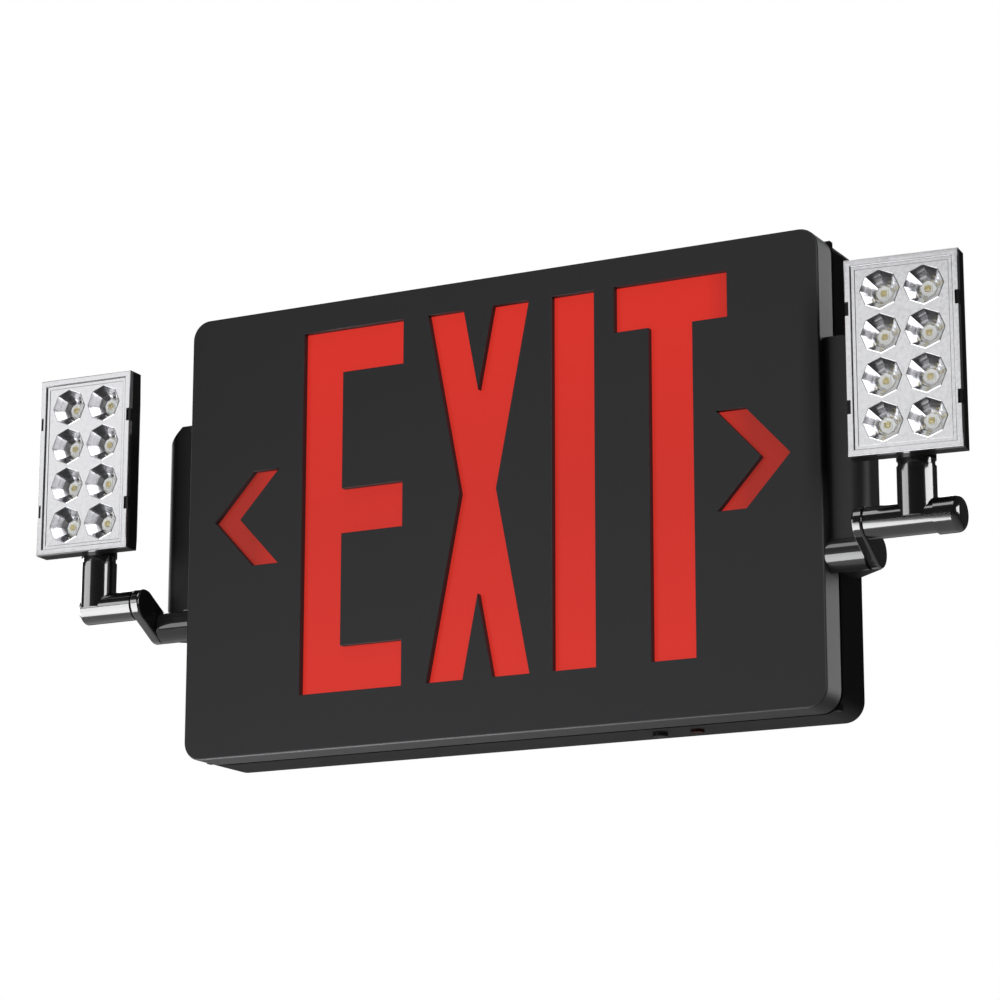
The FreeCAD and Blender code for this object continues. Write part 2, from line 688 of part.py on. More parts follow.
def line_up(body, flat, axis, pitch, count):
    """Settings of one linear pattern along a sketch axis."""
    pattern = body.newObject("PartDesign::LinearPattern", "Pattern")
    pattern.Direction = (flat, [axis])
    pattern.Mode = "Spacing"
    pattern.setExpression("Offset", bound(pitch))
    pattern.setExpression("Occurrences", bound(count))
    return pattern


def repeat(body, feature, flat, pitch, count):
    """Copies a feature along the sketch's first axis."""
    pattern = line_up(body, flat, "H_Axis", pitch, count)
    pattern.Originals = [feature]
    body.Tip = pattern
    doc.recompute()


def repeat_cups(body, feature, flat):
    """Copies a feature over the columns and rows of cups."""
    grid = body.newObject("PartDesign::MultiTransform", "Grid")
    grid.Originals = [feature]
    columns = line_up(body, flat, "H_Axis", "CupSpacing", "CupColumns")
    rows = line_up(body, flat, "V_Axis", "CupSpacing", "CupRows")
    grid.Transformations = [columns, rows]
    body.Tip = grid
    doc.recompute()


# ------------------------------------------------------------------ electronics


def charger_corners():
    reach_x = "(ChargerWidth / 2 - StandoffInset)"
    reach_z = "(ChargerHeight / 2 - StandoffInset)"
    places = mirrored(reach_x, reach_z)
    return [(f"ChargerX + ({x})", f"{CHARGER_Z} + ({z})") for x, z in places]


def strap_feet():
    return [(f"BatteryX + {i} * {STRAP_SPAN}", BATTERY_Z) for i in (-1, 1)]


def core_feet():
    reach = "((CoreWidth + CoreLimb + 2 * CoreWindow) / 4)"
    return [(f"TransformerX + {i} * {reach}", TRANSFORMER_Z) for i in (-1, 1)]


def make_charger():
    board = new_body("charger_board")
    flat = facing(board, BOARD_BACK)
    rectangle(flat, "ChargerWidth", "ChargerHeight", "ChargerX", CHARGER_Z)
    for x, z in charger_corners():
        circle(flat, "InnerScrewDia + 2 * ScrewPass", x, z)
    grow(board, flat, "BoardThick")

    relay = new_body("relay")
    flat = facing(relay, BOARD_FACE)
    rectangle(flat, "RelayWidth", "RelayHeight", "RelayX", RELAY_Z)
    grow(relay, flat, "RelayDeep")

    cans = new_body("capacitors")
    flat = facing(cans, BOARD_FACE)
    circle(flat, "CapacitorDia", "CapacitorX", CAPACITOR_Z)
    pad = grow(cans, flat, "CapacitorDeep")
    repeat(cans, pad, flat, "CapacitorSpacing", "CapacitorCount")

    block = new_body("terminal_block")
    flat = facing(block, BOARD_FACE)
    rectangle(flat, "TerminalWidth", "TerminalHeight", "TerminalX", TERMINAL_Z)
    grow(block, flat, "TerminalDeep")
    flat = level(block, f"{TERMINAL_Z} + TerminalHeight / 2")
    first = "TerminalX - TerminalSpacing * (TerminalCount - 1) / 2"
    circle(flat, "TerminalHoleDia", first, f"-({BOARD_FACE} + TerminalDeep / 2)")
    pocket = cut(block, flat, "TerminalHoleDeep")
    repeat(block, pocket, flat, "TerminalSpacing", "TerminalCount")

    status = new_body("status_led")
    flat = level(status, f"{CHARGER_BOTTOM} - StatusLedOverhang")
    circle(flat, "StatusLedDia", "LensX", f"-({BOARD_FACE} + StatusLedDia / 2)")
    grow(status, flat, "StatusLedLong")


def make_test_button():
    switch = new_body("test_switch")
    flat = facing(switch, BOARD_FACE)
    rectangle(flat, "SwitchSide", "SwitchSide", "ButtonX", f"{SWITCH_BOTTOM} + SwitchSide / 2")
    grow(switch, flat, "SwitchDeep")
    flat = level(switch, SWITCH_BOTTOM)
    circle(flat, "StemDia + 2 * PivotClearance", "ButtonX", f"-{BUTTON_FORWARD}")
    cut(switch, flat, "StemEntered + 2 * ButtonTravel", along=True)

    button = new_body("test_button")
    collar = f"({BOTTOM_INSIDE} + JointGap)"
    flat = level(button, f"{BOTTOM} - ButtonProud")
    circle(flat, "ButtonDia", "ButtonX", f"-{BUTTON_FORWARD}")
    grow(button, flat, f"{collar} - ({BOTTOM} - ButtonProud)")
    flat = level(button, collar)
    circle(flat, "CollarDia", "ButtonX", f"-{BUTTON_FORWARD}")
    grow(button, flat, "CollarThick")
    flat = level(button, f"{collar} + CollarThick")
    circle(flat, "StemDia", "ButtonX", f"-{BUTTON_FORWARD}")
    grow(button, flat, f"{SWITCH_BOTTOM} + StemEntered - {collar} - CollarThick")

    lens = new_body("status_lens")
    lens_top = f"({CHARGER_BOTTOM} - StatusLedOverhang - JointGap)"
    flat = level(lens, f"{BOTTOM} - LensFlangeThick")
    circle(flat, "LensFlangeDia", "LensX", f"-{BUTTON_FORWARD}")
    grow(lens, flat, "LensFlangeThick")
    flat = level(lens, BOTTOM)
    circle(flat, "LensDia", "LensX", f"-{BUTTON_FORWARD}")
    grow(lens, flat, f"{lens_top} - {BOTTOM}")


def make_battery():
    pack = new_body("battery_pack")
    flat = level(pack, f"{BATTERY_Z} - CellLong / 2")
    first = "BatteryX - CellSpacing * (CellCount - 1) / 2"
    circle(flat, "CellDia", first, "-(BoxFloor + CellDia / 2)")
    pad = grow(pack, flat, "CellLong")
    repeat(pack, pad, flat, "CellSpacing", "CellCount")

    # one strip of steel, bent over the pack with a foot at each end
    strap = new_body("battery_strap")
    flat = level(strap, f"{BATTERY_Z} - StrapWidth / 2")
    seat, over = "BoxFloor + StrapBossHeight", "BoxFloor + CellDia"
    half = f"{PACK_HALF} + StrapThick"
    end = f"{half} + StrapFoot"
    foot_top = f"{seat} + StrapThick"
    above = [(end, foot_top), (half, foot_top), (half, STRAP_TOP)]
    below = [(PACK_HALF, over), (PACK_HALF, seat), (end, seat)]
    right = [(f"BatteryX + ({x})", f"-({y})") for x, y in above]
    left = [(f"BatteryX - ({x})", f"-({y})") for x, y in reversed(above)]
    left_under = [(f"BatteryX - ({x})", f"-({y})") for x, y in reversed(below)]
    right_under = [(f"BatteryX + ({x})", f"-({y})") for x, y in below]
    outline(flat, right + left + left_under + right_under)
    grow(strap, flat, "StrapWidth")
    flat = facing(strap, seat)
    for x, z in strap_feet():
        circle(flat, "InnerScrewDia + 2 * ScrewPass", x, z)
    cut(strap, flat, "StrapThick", along=True)


def make_transformer():
    core = new_body("transformer_core")
    flat = facing(core, CORE_BACK)
    rectangle(flat, "CoreWidth", "CoreHeight", "TransformerX", TRANSFORMER_Z)
    for way in (-1, 1):
        reach = f"TransformerX + {way} * (CoreLimb + CoreWindow) / 2"
        rectangle(flat, "CoreWindow", "CoreWindowHeight", reach, TRANSFORMER_Z)
    for x, z in core_feet():
        circle(flat, "InnerScrewDia + 2 * ScrewPass", x, z)
    grow(core, flat, "CoreStack")

    coil = new_body("transformer_coil")
    height = "(CoreWindowHeight - 2 * CoilClearance)"
    flat = level(coil, f"{TRANSFORMER_Z} - {height} / 2")
    middle = f"-({CORE_BACK} + CoreStack / 2)"
    width = "CoreLimb + 2 * CoreWindow - 2 * CoilClearance"
    rectangle(flat, width, "CoreStack + 2 * CoilOverhang", "TransformerX", middle)
    bore = "2 * CoilClearance"
    rectangle(flat, f"CoreLimb + {bore}", f"CoreStack + {bore}", "TransformerX", middle)
    grow(coil, flat, height)


# ------------------------------------------------------------------ screws


def screw_shape(head_dia, head_thick, shank_dia, shank_long):
    """A pan-head screw along +Z, with the underside of its head at the origin."""
    head = Part.makeCylinder(value(head_dia) / 2, value(head_thick), Vector(0, 0, -value(head_thick)))
    shank = Part.makeCylinder(value(shank_dia) / 2, value(shank_long))
    return head.fuse(shank).removeSplitter()


def driven(shape, x, forward, z, direction):
    """A copy of a screw whose head seats at a place and whose shank points one way."""
    spot = Vector(value(x), -value(forward), value(z))
    turn = Rotation(Vector(0, 0, 1), Vector(*direction))
    moved = shape.copy()
    moved.Placement = Placement(spot, turn)
    return moved


def make_screws():
    reach = f"{SHOULDER} + CaseScrewBite - CaseHeadSunk - CaseHeadThick"
    long_screw = screw_shape("CaseHeadDia", "CaseHeadThick", "CaseScrewDia", reach)
    seat = "CaseHeadSunk + CaseHeadThick"
    case = [driven(long_screw, x, seat, z, (0, -1, 0)) for x, z in mirrored(POST_X, POST_Z)]
    group("case_screws", case)

    short = screw_shape("InnerHeadDia", "InnerHeadThick", "InnerScrewDia", "InnerScrewLong")
    inward = [
        ("TrayForward + TrayWall", mirrored("TrayPostX", "TrayPostZ")),
        (BOARD_FACE, charger_corners()),
        ("BoxFloor + StrapBossHeight + StrapThick", strap_feet()),
    ]
    inner = [driven(short, x, seat, z, (0, 1, 0)) for seat, places in inward for x, z in places]
    for side in (-1, 1):
        for height in ("PodScrewUpperZ", "PodScrewLowerZ"):
            station = f"{side} * ({HALF_WIDTH} - BoxWall)"
            inner.append(driven(short, station, "PodScrewForward", height, (side, 0, 0)))
    group("inner_screws", inner)

    core = screw_shape("InnerHeadDia", "InnerHeadThick", "InnerScrewDia", "CoreScrewLong")
    seat = f"{CORE_BACK} + CoreStack"
    group("core_screws", [driven(core, x, seat, z, (0, 1, 0)) for x, z in core_feet()])


# ------------------------------------------------------------------ arms


def make_side_pod(name, side):
    body = new_body(f"side_pod_{name}")
    inner, outer = f"{side} * {HALF_WIDTH}", f"{side} * {POD_OUTER}"
    flat = level(body, "-PodBottom")
    outline(
        flat,
        [
            (inner, "-PodForward"),
            (outer, "-PodForward"),
            (outer, "-PodOuterBack"),
            (inner, "-PodInnerBack"),
        ],
    )
    grow(body, flat, "PodTop + PodBottom")
    edge_x = value(outer)
    top = value("PodTop")

    def upper_outer(edge):
        spot = edge.CenterOfMass
        return near(spot.x, edge_x) and near(spot.z, top) and straight(edge, Vector(0, 1, 0))

    dress(body, "Chamfer", "PodChamfer", upper_outer)

    def front_outer(edge):
        spot = edge.CenterOfMass
        at_front = near(spot.x, edge_x) and near(spot.y, -value("PodForward"))
        return at_front and straight(edge, Vector(0, 0, 1))

    dress(body, "Fillet", "PodEdge", front_outer)

    # hollow, open towards the housing
    low, high = f"{SWING_LOW} + PodWall", "PodTop - PodChamfer - PodWall"
    flat = level(body, low)
    deep = f"{side} * ({POD_OUTER} - PodWall)"
    slope = "(PodOuterBack - PodInnerBack) / PodWidth"
    outline(
        flat,
        [
            (inner, "-(PodForward - PodWall)"),
            (deep, "-(PodForward - PodWall)"),
            (deep, f"-(PodOuterBack - {slope} * PodWall + PodSlopeWall)"),
            (inner, "-(PodInnerBack + PodSlopeWall)"),
        ],
    )
    cut(body, flat, f"{high} - ({low})", along=True)
    deep_x = value(deep)

    def inner_corner(edge):
        spot = edge.CenterOfMass
        in_corner = near(spot.x, deep_x) and near(spot.y, -value("PodForward - PodWall"))
        return in_corner and straight(edge, Vector(0, 0, 1))

    dress(body, "Fillet", "PodEdge - PodWall", inner_corner)

    # screw bosses, and the barrel that the link turns in
    flat = across(body, inner)
    for height in ("PodScrewUpperZ", "PodScrewLowerZ"):
        circle(flat, "PodBossDia", "-PodScrewForward", height)
    grow(body, flat, "PodBossLong", back=side < 0)
    flat = across(body, inner)
    circle(flat, "BarrelDia", "-SwingForward", "SwingZ")
    grow(body, flat, "PodWidth", back=side < 0)
    flat = across(body, inner)
    for height in ("PodScrewUpperZ", "PodScrewLowerZ"):
        circle(flat, "InnerScrewDia + 2 * ScrewClearance", "-PodScrewForward", height)
    cut(body, flat, "InnerScrewLong - BoxWall + ShortPilotSpare", along=side > 0)
    flat = across(body, inner)
    circle(flat, PIVOT_HOLE, "-SwingForward", "SwingZ")
    cut(body, flat, "PodWidth", along=side > 0)
    flat = across(body, inner)
    circle(flat, "NutRoomDia", "-SwingForward", "SwingZ")
    cut(body, flat, "SwingNutRoom", along=side > 0)


def make_swing_link(name, side):
    """The offset knuckle: a flat link with a hollow spigot on each face."""
    body = new_body(f"swing_link_{name}")
    swing, tilt = ("-SwingForward", "SwingZ"), ("-TiltForward", "TiltZ")
    flat = across(body, f"{side} * {LINK_INNER}")
    stadium(flat, "BarrelDia", swing, tilt)
    grow(body, flat, "LinkThick", back=side < 0)
    faces = (value(f"{side} * {LINK_INNER}"), value(f"{side} * {LINK_OUTER}"))

    def rims(edge):
        box = edge.BoundBox
        return any(near(box.XMin, x) and near(box.XMax, x) for x in faces)

    dress(body, "Fillet", "LinkEdge", rims)
    for axis, station, reach, inward in (
        (swing, LINK_INNER, f"{LINK_INNER} - {SWING_SHOULDER} + {STACK}", True),
        (tilt, LINK_OUTER, f"{TILT_SHOULDER} + {STACK} - {LINK_OUTER}", False),
    ):
        back = (side > 0) if inward else (side < 0)
        flat = across(body, f"{side} * {station}")
        circle(flat, "PivotDia", *axis)
        grow(body, flat, reach, back=back)
        away = -1 if inward else 1
        flat = across(body, f"{side} * ({station} + {away} * ({reach}))")
        circle(flat, "WireBoreDia", *axis)
        cut(body, flat, f"{reach} + LinkThick / 2", along=back)


def ring(outer, inner, thick):
    """A washer or ring nut along +X, starting at the origin."""
    along = Vector(1, 0, 0)
    solid = Part.makeCylinder(value(outer) / 2, value(thick), Vector(), along)
    return solid.cut(Part.makeCylinder(value(inner) / 2, value(thick), Vector(), along))


def make_pivot_hardware(name, side):
    """Washer and ring nut on the end of each spigot."""
    bore = "PivotDia + ScrewClearance"
    washer = ring("PivotNutDia", bore, "PivotWasherThick")
    nut = ring("PivotNutDia", bore, "PivotNutThick")
    washers, nuts = [], []
    for shoulder, way, forward, height in (
        (SWING_SHOULDER, -side, "SwingForward", "SwingZ"),
        (TILT_SHOULDER, side, "TiltForward", "TiltZ"),
    ):
        gap = f"{side} * {shoulder} + {way} * JointGap"
        washers.append(driven_ring(washer, gap, forward, height, way))
        after = f"{gap} + {way} * PivotWasherThick"
        nuts.append(driven_ring(nut, after, forward, height, way))
    group(f"pivot_washers_{name}", washers)
    group(f"pivot_nuts_{name}", nuts)


def driven_ring(shape, station, forward, height, way):
    spot = Vector(value(station), -value(forward), value(height))
    moved = shape.copy()
    moved.Placement = Placement(spot, Rotation(Vector(1, 0, 0), Vector(way, 0, 0)))
    return moved


def make_tilt_tee(name, side):
    """The second barrel with the upright stem that carries the head."""
    body = new_body(f"tilt_tee_{name}")
    tilt = ("-TiltForward", "TiltZ")
    stem = (f"{side} * {STEM_X}", "-TiltForward")
    flat = across(body, f"{side} * {TEE_INNER}")
    circle(flat, "TeeDia", *tilt)
    grow(body, flat, f"{TEE_OUTER[name]} - {TEE_INNER}", back=side < 0)
    flat = level(body, "TiltZ")
    circle(flat, "StemOuterDia", *stem)
    grow(body, flat, f"{TEE_TOP} - TiltZ")
    flat = across(body, f"{side} * {TEE_INNER}")
    circle(flat, PIVOT_HOLE, *tilt)
    cut(body, flat, f"{TEE_OUTER[name]} - {TEE_INNER}", along=side > 0)
    # the nut room starts beyond the stem, which it opens where the barrel ends inside it
    beyond = f"({STEM_X} + StemOuterDia)"
    flat = across(body, f"{side} * {beyond}")
    circle(flat, "NutRoomDia", *tilt)
    cut(body, flat, f"{beyond} - {TILT_SHOULDER}", along=side < 0)
    flat = level(body, TEE_TOP)
    circle(flat, "PostSpigotDia + 2 * PivotClearance", *stem)
    cut(body, flat, "PostSpigotLong + PanSocketFloor - JointGap")
    flat = facing(body, "TiltForward")
    circle(flat, "PanScrewDia + 2 * ScrewClearance", stem[0], PAN_GROOVE_Z)
    cut(body, flat, "StemOuterDia")

    screw = new_body(f"pan_screw_{name}")
    tip = "(PanGrooveDia / 2 + PanScrewTip)"
    flat = facing(screw, f"TiltForward - {tip}")
    circle(flat, "PanScrewDia", stem[0], PAN_GROOVE_Z)
    grow(screw, flat, f"StemOuterDia / 2 - {tip}", back=True)


def make_end_cap(name, side, long, diameter, edge, kind):
    """Closes the tee's nut room: a plug with a round or a bevelled head."""
    body = new_body(f"end_cap_{name}")
    tilt = ("-TiltForward", "TiltZ")
    flat = across(body, f"{side} * {TEE_OUTER[name]}")
    circle(flat, diameter, *tilt)
    grow(body, flat, long, back=side < 0)
    far = value(f"{side} * ({TEE_OUTER[name]} + {long})")

    def outer_rim(edge):
        return near(edge.BoundBox.XMin, far) and near(edge.BoundBox.XMax, far)

    dress(body, kind, edge, outer_rim)
    flat = across(body, f"{side} * {TEE_OUTER[name]}")
    circle(flat, CAP_PLUG_DIA, *tilt)
    grow(body, flat, "CapPlugLong", back=side > 0)


# ------------------------------------------------------------------ lamp heads


def place_head(item, side, aim):
    """Heads are built round the stem axis, with their underside at height 0, then aimed."""
    item.setExpression("Placement.Base.x", bound(f"{side} * {STEM_X}"))
    item.setExpression("Placement.Base.y", bound("-TiltForward"))
    item.setExpression("Placement.Base.z", bound("HeadBottom"))
    item.Placement.Rotation = Rotation(Vector(0, 0, 1), value(aim))
    doc.recompute()


def make_pan_post(name, side, aim):
    """A hollow post: spigot, groove, collar and the shank that the head is clamped on."""
    body = new_body(f"pan_post_{name}")
    flat = sketch(body, "XZ_Plane")
    spigot, collar, shank = "PostSpigotDia / 2", "PostCollarDia / 2", "PostShankDia / 2"
    foot = "-(PostCollarThick + PostSpigotLong)"
    groove = "-(PostCollarThick + PanGrooveDrop)"
    top = "NutPocketBottom + PostNutThick"
    outline(
        flat,
        [
            ("PostBoreDia / 2", foot),
            (spigot, foot),
            (spigot, f"{groove} - PanGrooveWide / 2"),
            ("PanGrooveDia / 2", f"{groove} - PanGrooveWide / 2"),
            ("PanGrooveDia / 2", f"{groove} + PanGrooveWide / 2"),
            (spigot, f"{groove} + PanGrooveWide / 2"),
            (spigot, "-PostCollarThick"),
            (collar, "-PostCollarThick"),
            (collar, "0"),
            (shank, "0"),
            (shank, top),
            ("PostBoreDia / 2", top),
        ],
    )
    turned = body.newObject("PartDesign::Revolution", "Revolution")
    turned.Profile = flat
    turned.ReferenceAxis = (flat, ["V_Axis"])
    turned.Angle = 360
    doc.recompute()
    place_head(body, side, aim)

    nut = new_body(f"post_nut_{name}")
    flat = level(nut, "NutPocketBottom")
    circle(flat, "PostNutDia")
    circle(flat, "PostShankDia + ScrewClearance")
    grow(nut, flat, "PostNutThick")
    place_head(nut, side, aim)


def hook_places(clearance="0"):
    """Where the four hooks hold the reflector flange: x, z, width and height."""
    middle = "HeadHeight / 2"
    wide, high = f"TabWide + {clearance}", f"TabHigh + 2 * {clearance}"
    for i in (-1, 1):
        for j in (-1, 1):
            x = f"{i} * (HeadWidth / 2 - ({wide}) / 2)"
            yield x, f"{middle} + {j} * TabRise", wide, high


def make_head_housing(name, side, aim):
    body = new_body(f"head_housing_{name}")
    middle = "HeadHeight / 2"
    flange_back = "(HeadFront - FlangeThick)"
    flat = facing(body, "RimBack")
    rectangle(flat, "HeadWidth", "HeadHeight", "0", middle)
    grow(body, flat, f"{flange_back} - RimBack")
    flat = facing(body, "RimBack")
    rectangle(flat, "HeadWidth", "HeadHeight", "0", middle)
    grow(body, flat, "RimBack + HeadRear", back=True, taper="-HeadTaper")
    flat = level(body, "0")
    circle(flat, "NeckDia")
    grow(body, flat, "NutPocketBottom")

    # the board lies on the step between the two pockets
    board_back = "(HeadFront - CupDepth - BoardThick)"
    flat = facing(body, flange_back)
    rectangle(flat, "BoardRoomWidth", "BoardRoomHeight", "0", middle)
    cut(body, flat, f"{flange_back} - {board_back}")
    flat = facing(body, board_back)
    height = "(NutPocketTop - NutPocketBottom)"
    rectangle(flat, "NutPocketWidth", height, "0", f"NutPocketBottom + {height} / 2")
    cut(body, flat, f"{board_back} + NutPocketRear")
    flat = level(body, "0")
    circle(flat, "PostShankDia + 2 * ScrewClearance")
    cut(body, flat, "NutPocketBottom", along=True)

    # upright cooling grooves across the rear face
    flat = facing(body, "-HeadRear")
    first = "-CoolingGrooveSpacing * (CoolingGrooveCount - 1) / 2"
    rectangle(flat, "CoolingGrooveWide", "CoolingGrooveHigh", first, middle)
    groove = cut(body, flat, "CoolingGrooveDeep", along=True)
    repeat(body, groove, flat, "CoolingGrooveSpacing", "CoolingGrooveCount")

    flat = facing(body, flange_back)
    for x, z, wide, high in hook_places():
        rectangle(flat, wide, high, x, z)
    grow(body, flat, "FlangeThick")
    place_head(body, side, aim)


def make_reflector(name, side, aim):
    """A metallised panel: a bordered flange with a grid of thin-walled cups behind it."""
    body = new_body(f"reflector_panel_{name}")
    middle = "HeadHeight / 2"
    flat = facing(body, "HeadFront - FlangeThick")
    rectangle(flat, "HeadWidth", "HeadHeight", "0", middle)
    grow(body, flat, "FlangeThick")
    flat = facing(body, "HeadFront")
    rectangle(flat, "HeadWidth", "HeadHeight", "0", middle)
    rectangle(flat, "HeadWidth - 2 * BorderWide", "HeadHeight - 2 * BorderWide", "0", middle)
    grow(body, flat, "BorderHigh")
    flat = facing(body, "HeadFront + BorderHigh")
    for x, z, wide, high in hook_places("TabClearance"):
        rectangle(flat, wide, high, x, z)
    cut(body, flat, "FlangeThick + BorderHigh")

    first_x = "(-CupSpacing * (CupColumns - 1) / 2)"
    first_z = f"({middle} - CupSpacing * (CupRows - 1) / 2)"
    rows_flat = facing(body, "HeadFront")
    circle(rows_flat, "CupMouthDia", first_x, first_z)
    mouth = cut(body, rows_flat, "FlangeThick")
    repeat_cups(body, mouth, rows_flat)

    # one cup, turned about its own axis
    flat = sketch(body, "YZ_Plane", first_x)
    outline(
        flat,
        [
            ("-HeadFront", f"{first_z} + CupMouthDia / 2 - CupWall / 2"),
            ("-HeadFront", f"{first_z} + CupMouthDia / 2 + CupWall / 2"),
            ("-(HeadFront - CupDepth)", f"{first_z} + CupThroatDia / 2 + CupWall / 2"),
            ("-(HeadFront - CupDepth)", f"{first_z} + CupThroatDia / 2 - CupWall / 2"),
        ],
    )
    axis = flat.addGeometry(
        Part.LineSegment(Vector(0, value(first_z), 0), Vector(-value("HeadFront"), value(first_z), 0)),
        True,
    )
    pin(flat, axis, 1, "0", first_z)
    pin(flat, axis, 2, "-HeadFront", first_z)
    cup = body.newObject("PartDesign::Revolution", "Cup")
    cup.Profile = flat
    cup.ReferenceAxis = (flat, ["Axis0"])
    cup.Angle = 360
    doc.recompute()
    repeat_cups(body, cup, rows_flat)
    place_head(body, side, aim)


def make_lamp_board(name, side, aim):
    middle = "HeadHeight / 2"
    board_face = "(HeadFront - CupDepth)"
    plate = new_body(f"led_plate_{name}")
    flat = facing(plate, f"{board_face} - BoardThick")
    slack = "2 * BoardClearance"
    rectangle(flat, f"BoardRoomWidth - {slack}", f"BoardRoomHeight - {slack}", "0", middle)
    grow(plate, flat, "BoardThick")
    place_head(plate, side, aim)

    leds = new_body(f"head_leds_{name}")
    flat = facing(leds, board_face)
    first_x = "-CupSpacing * (CupColumns - 1) / 2"
    first_z = f"{middle} - CupSpacing * (CupRows - 1) / 2"
    rectangle(flat, "HeadLedSide", "HeadLedSide", first_x, first_z)
    pad = grow(leds, flat, "HeadLedThick")
    repeat_cups(leds, pad, flat)
    place_head(leds, side, aim)


make_back_box()
make_front_cover()
make_light_chamber()
make_charger()
make_test_button()
make_battery()
make_transformer()
make_screws()
for name, side, aim in SIDES:
    make_side_pod(name, side)
    make_swing_link(name, side)
    make_pivot_hardware(name, side)
    make_tilt_tee(name, side)
    make_pan_post(name, side, aim)
    make_head_housing(name, side, aim)
    make_reflector(name, side, aim)
    make_lamp_board(name, side, aim)
make_end_cap("right", 1, "LongCapLong", "LongCapDia", "LongCapEdge", "Fillet")
make_end_cap("left", -1, "BevelCapLong", CAP_PLUG_DIA, "BevelCapEdge", "Chamfer")
doc.recompute()

# ------------------------------------------------------------------ checks and export

broken = [item.Name for item in doc.Objects if {"Invalid", "Error"} & set(item.State)]
if broken:
    raise RuntimeError("failed features: " + ", ".join(broken))

NOT_EXPORTED = ("leds_upper", "leds_lower")
os.makedirs("parts", exist_ok=True)
for item in doc.Objects:
    is_body = item.TypeId == "PartDesign::Body"
    is_group = item.TypeId == "Part::Feature"
    if not (is_body or is_group) or item.Label in NOT_EXPORTED:
        continue
    if item.Shape.isNull() or not item.Shape.isValid():
        raise RuntimeError(item.Label + " has no valid shape")
    item.Shape.exportStep(f"parts/{item.Label}.step")
    print(f"{item.Label}: {len(item.Shape.Solids)} solid(s), {item.Shape.Volume:.0f} mm3")
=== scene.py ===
# %% [markdown]
# # An emergency exit light, dressed for its portrait
# The fitting hangs on a wall above a door: a black moulded box whose stencil cover glows red,
# with a small lamp head on a jointed arm at each side. Its solids come from CAD, already in
# place. This lesson gives them their lettering, their finishes and their light.
# Every length is in metres. MM is one millimetre, which keeps the sizes short to read.

# %% Load the frame
import math

import bmesh
import bpy
from mathutils import Matrix, Vector


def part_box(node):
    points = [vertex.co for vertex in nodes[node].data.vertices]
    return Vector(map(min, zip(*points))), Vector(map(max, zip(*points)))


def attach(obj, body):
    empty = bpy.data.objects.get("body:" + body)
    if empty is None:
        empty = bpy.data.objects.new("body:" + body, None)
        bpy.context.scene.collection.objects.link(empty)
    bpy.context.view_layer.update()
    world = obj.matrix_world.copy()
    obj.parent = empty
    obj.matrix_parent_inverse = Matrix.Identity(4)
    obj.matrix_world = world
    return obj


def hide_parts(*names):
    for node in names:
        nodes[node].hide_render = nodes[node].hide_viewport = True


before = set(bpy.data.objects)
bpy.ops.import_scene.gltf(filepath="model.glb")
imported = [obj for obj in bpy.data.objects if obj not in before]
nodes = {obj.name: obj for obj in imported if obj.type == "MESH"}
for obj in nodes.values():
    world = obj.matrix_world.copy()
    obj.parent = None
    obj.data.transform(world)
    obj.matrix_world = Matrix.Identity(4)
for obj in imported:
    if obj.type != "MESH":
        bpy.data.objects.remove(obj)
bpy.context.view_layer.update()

MM = 0.001

# %% [markdown]
# ## The camera
# The fitting is looked at from the right and from below, as someone does who stands under the
# door. A long lens flattens the perspective, which is how a product portrait is taken. A
# camera can be aimed with a constraint, but plain numbers say exactly where it stands.

# %% Camera
CAMERA_PLACE = (0.6006, -1.1736, -0.3072)
CAMERA_YAW, CAMERA_PITCH, CAMERA_ROLL = 27.68, 13.49, -0.05
camera_data = bpy.data.cameras.new("portrait_lens")
camera_data.lens = 119.3
camera_data.sensor_width = 36
camera = bpy.data.objects.new("portrait_camera", camera_data)
camera.location = CAMERA_PLACE
camera.rotation_euler = [
    math.radians(a) for a in (90 + CAMERA_PITCH, CAMERA_ROLL, CAMERA_YAW)
]
bpy.context.scene.collection.objects.link(camera)
bpy.context.scene.camera = camera
print("camera stands", round(Vector(CAMERA_PLACE).length, 2), "m from the middle of the back")

# %% [markdown]
# ## The floor
# The floor is plain and pale and lies well under the fitting, as a studio table would. One
# matt plane could do, but it would show the camera every shadow of the lamps. So a Light Path
# node shows the camera an even pale tone, while the fitting is lit by the matt surface. From
# below the floor is clear, so that the underside of the fitting can be looked at.

# %% Floor
FLOOR_DROP, FLOOR_WIDE = 0.62, 7.0
MATT_TONE, PALE_TONE = 0.86, 0.88
bpy.context.scene.view_settings.view_transform = "Standard"


def deselect_all():
    """Operators act on everything selected, so each step starts from nothing."""
    bpy.ops.object.select_all(action="DESELECT")


def grey(tone):
    """A grey with its alpha, as colour sockets take it."""
    return (tone, tone, tone, 1)


def add(tree, kind, **values):
    """Adds one shader node and sets the named inputs."""
    node = tree.nodes.new("ShaderNode" + kind)
    for key, value in values.items():
        node.inputs[key.replace("_", " ")].default_value = value
    return node


def one_or_other(tree, factor, first, second):
    """The first shader where the factor is 0, the second where it is 1."""
    mix = add(tree, "MixShader")
    for output, socket in zip((factor, first, second), mix.inputs):
        tree.links.new(output, socket)
    return mix.outputs["Shader"]


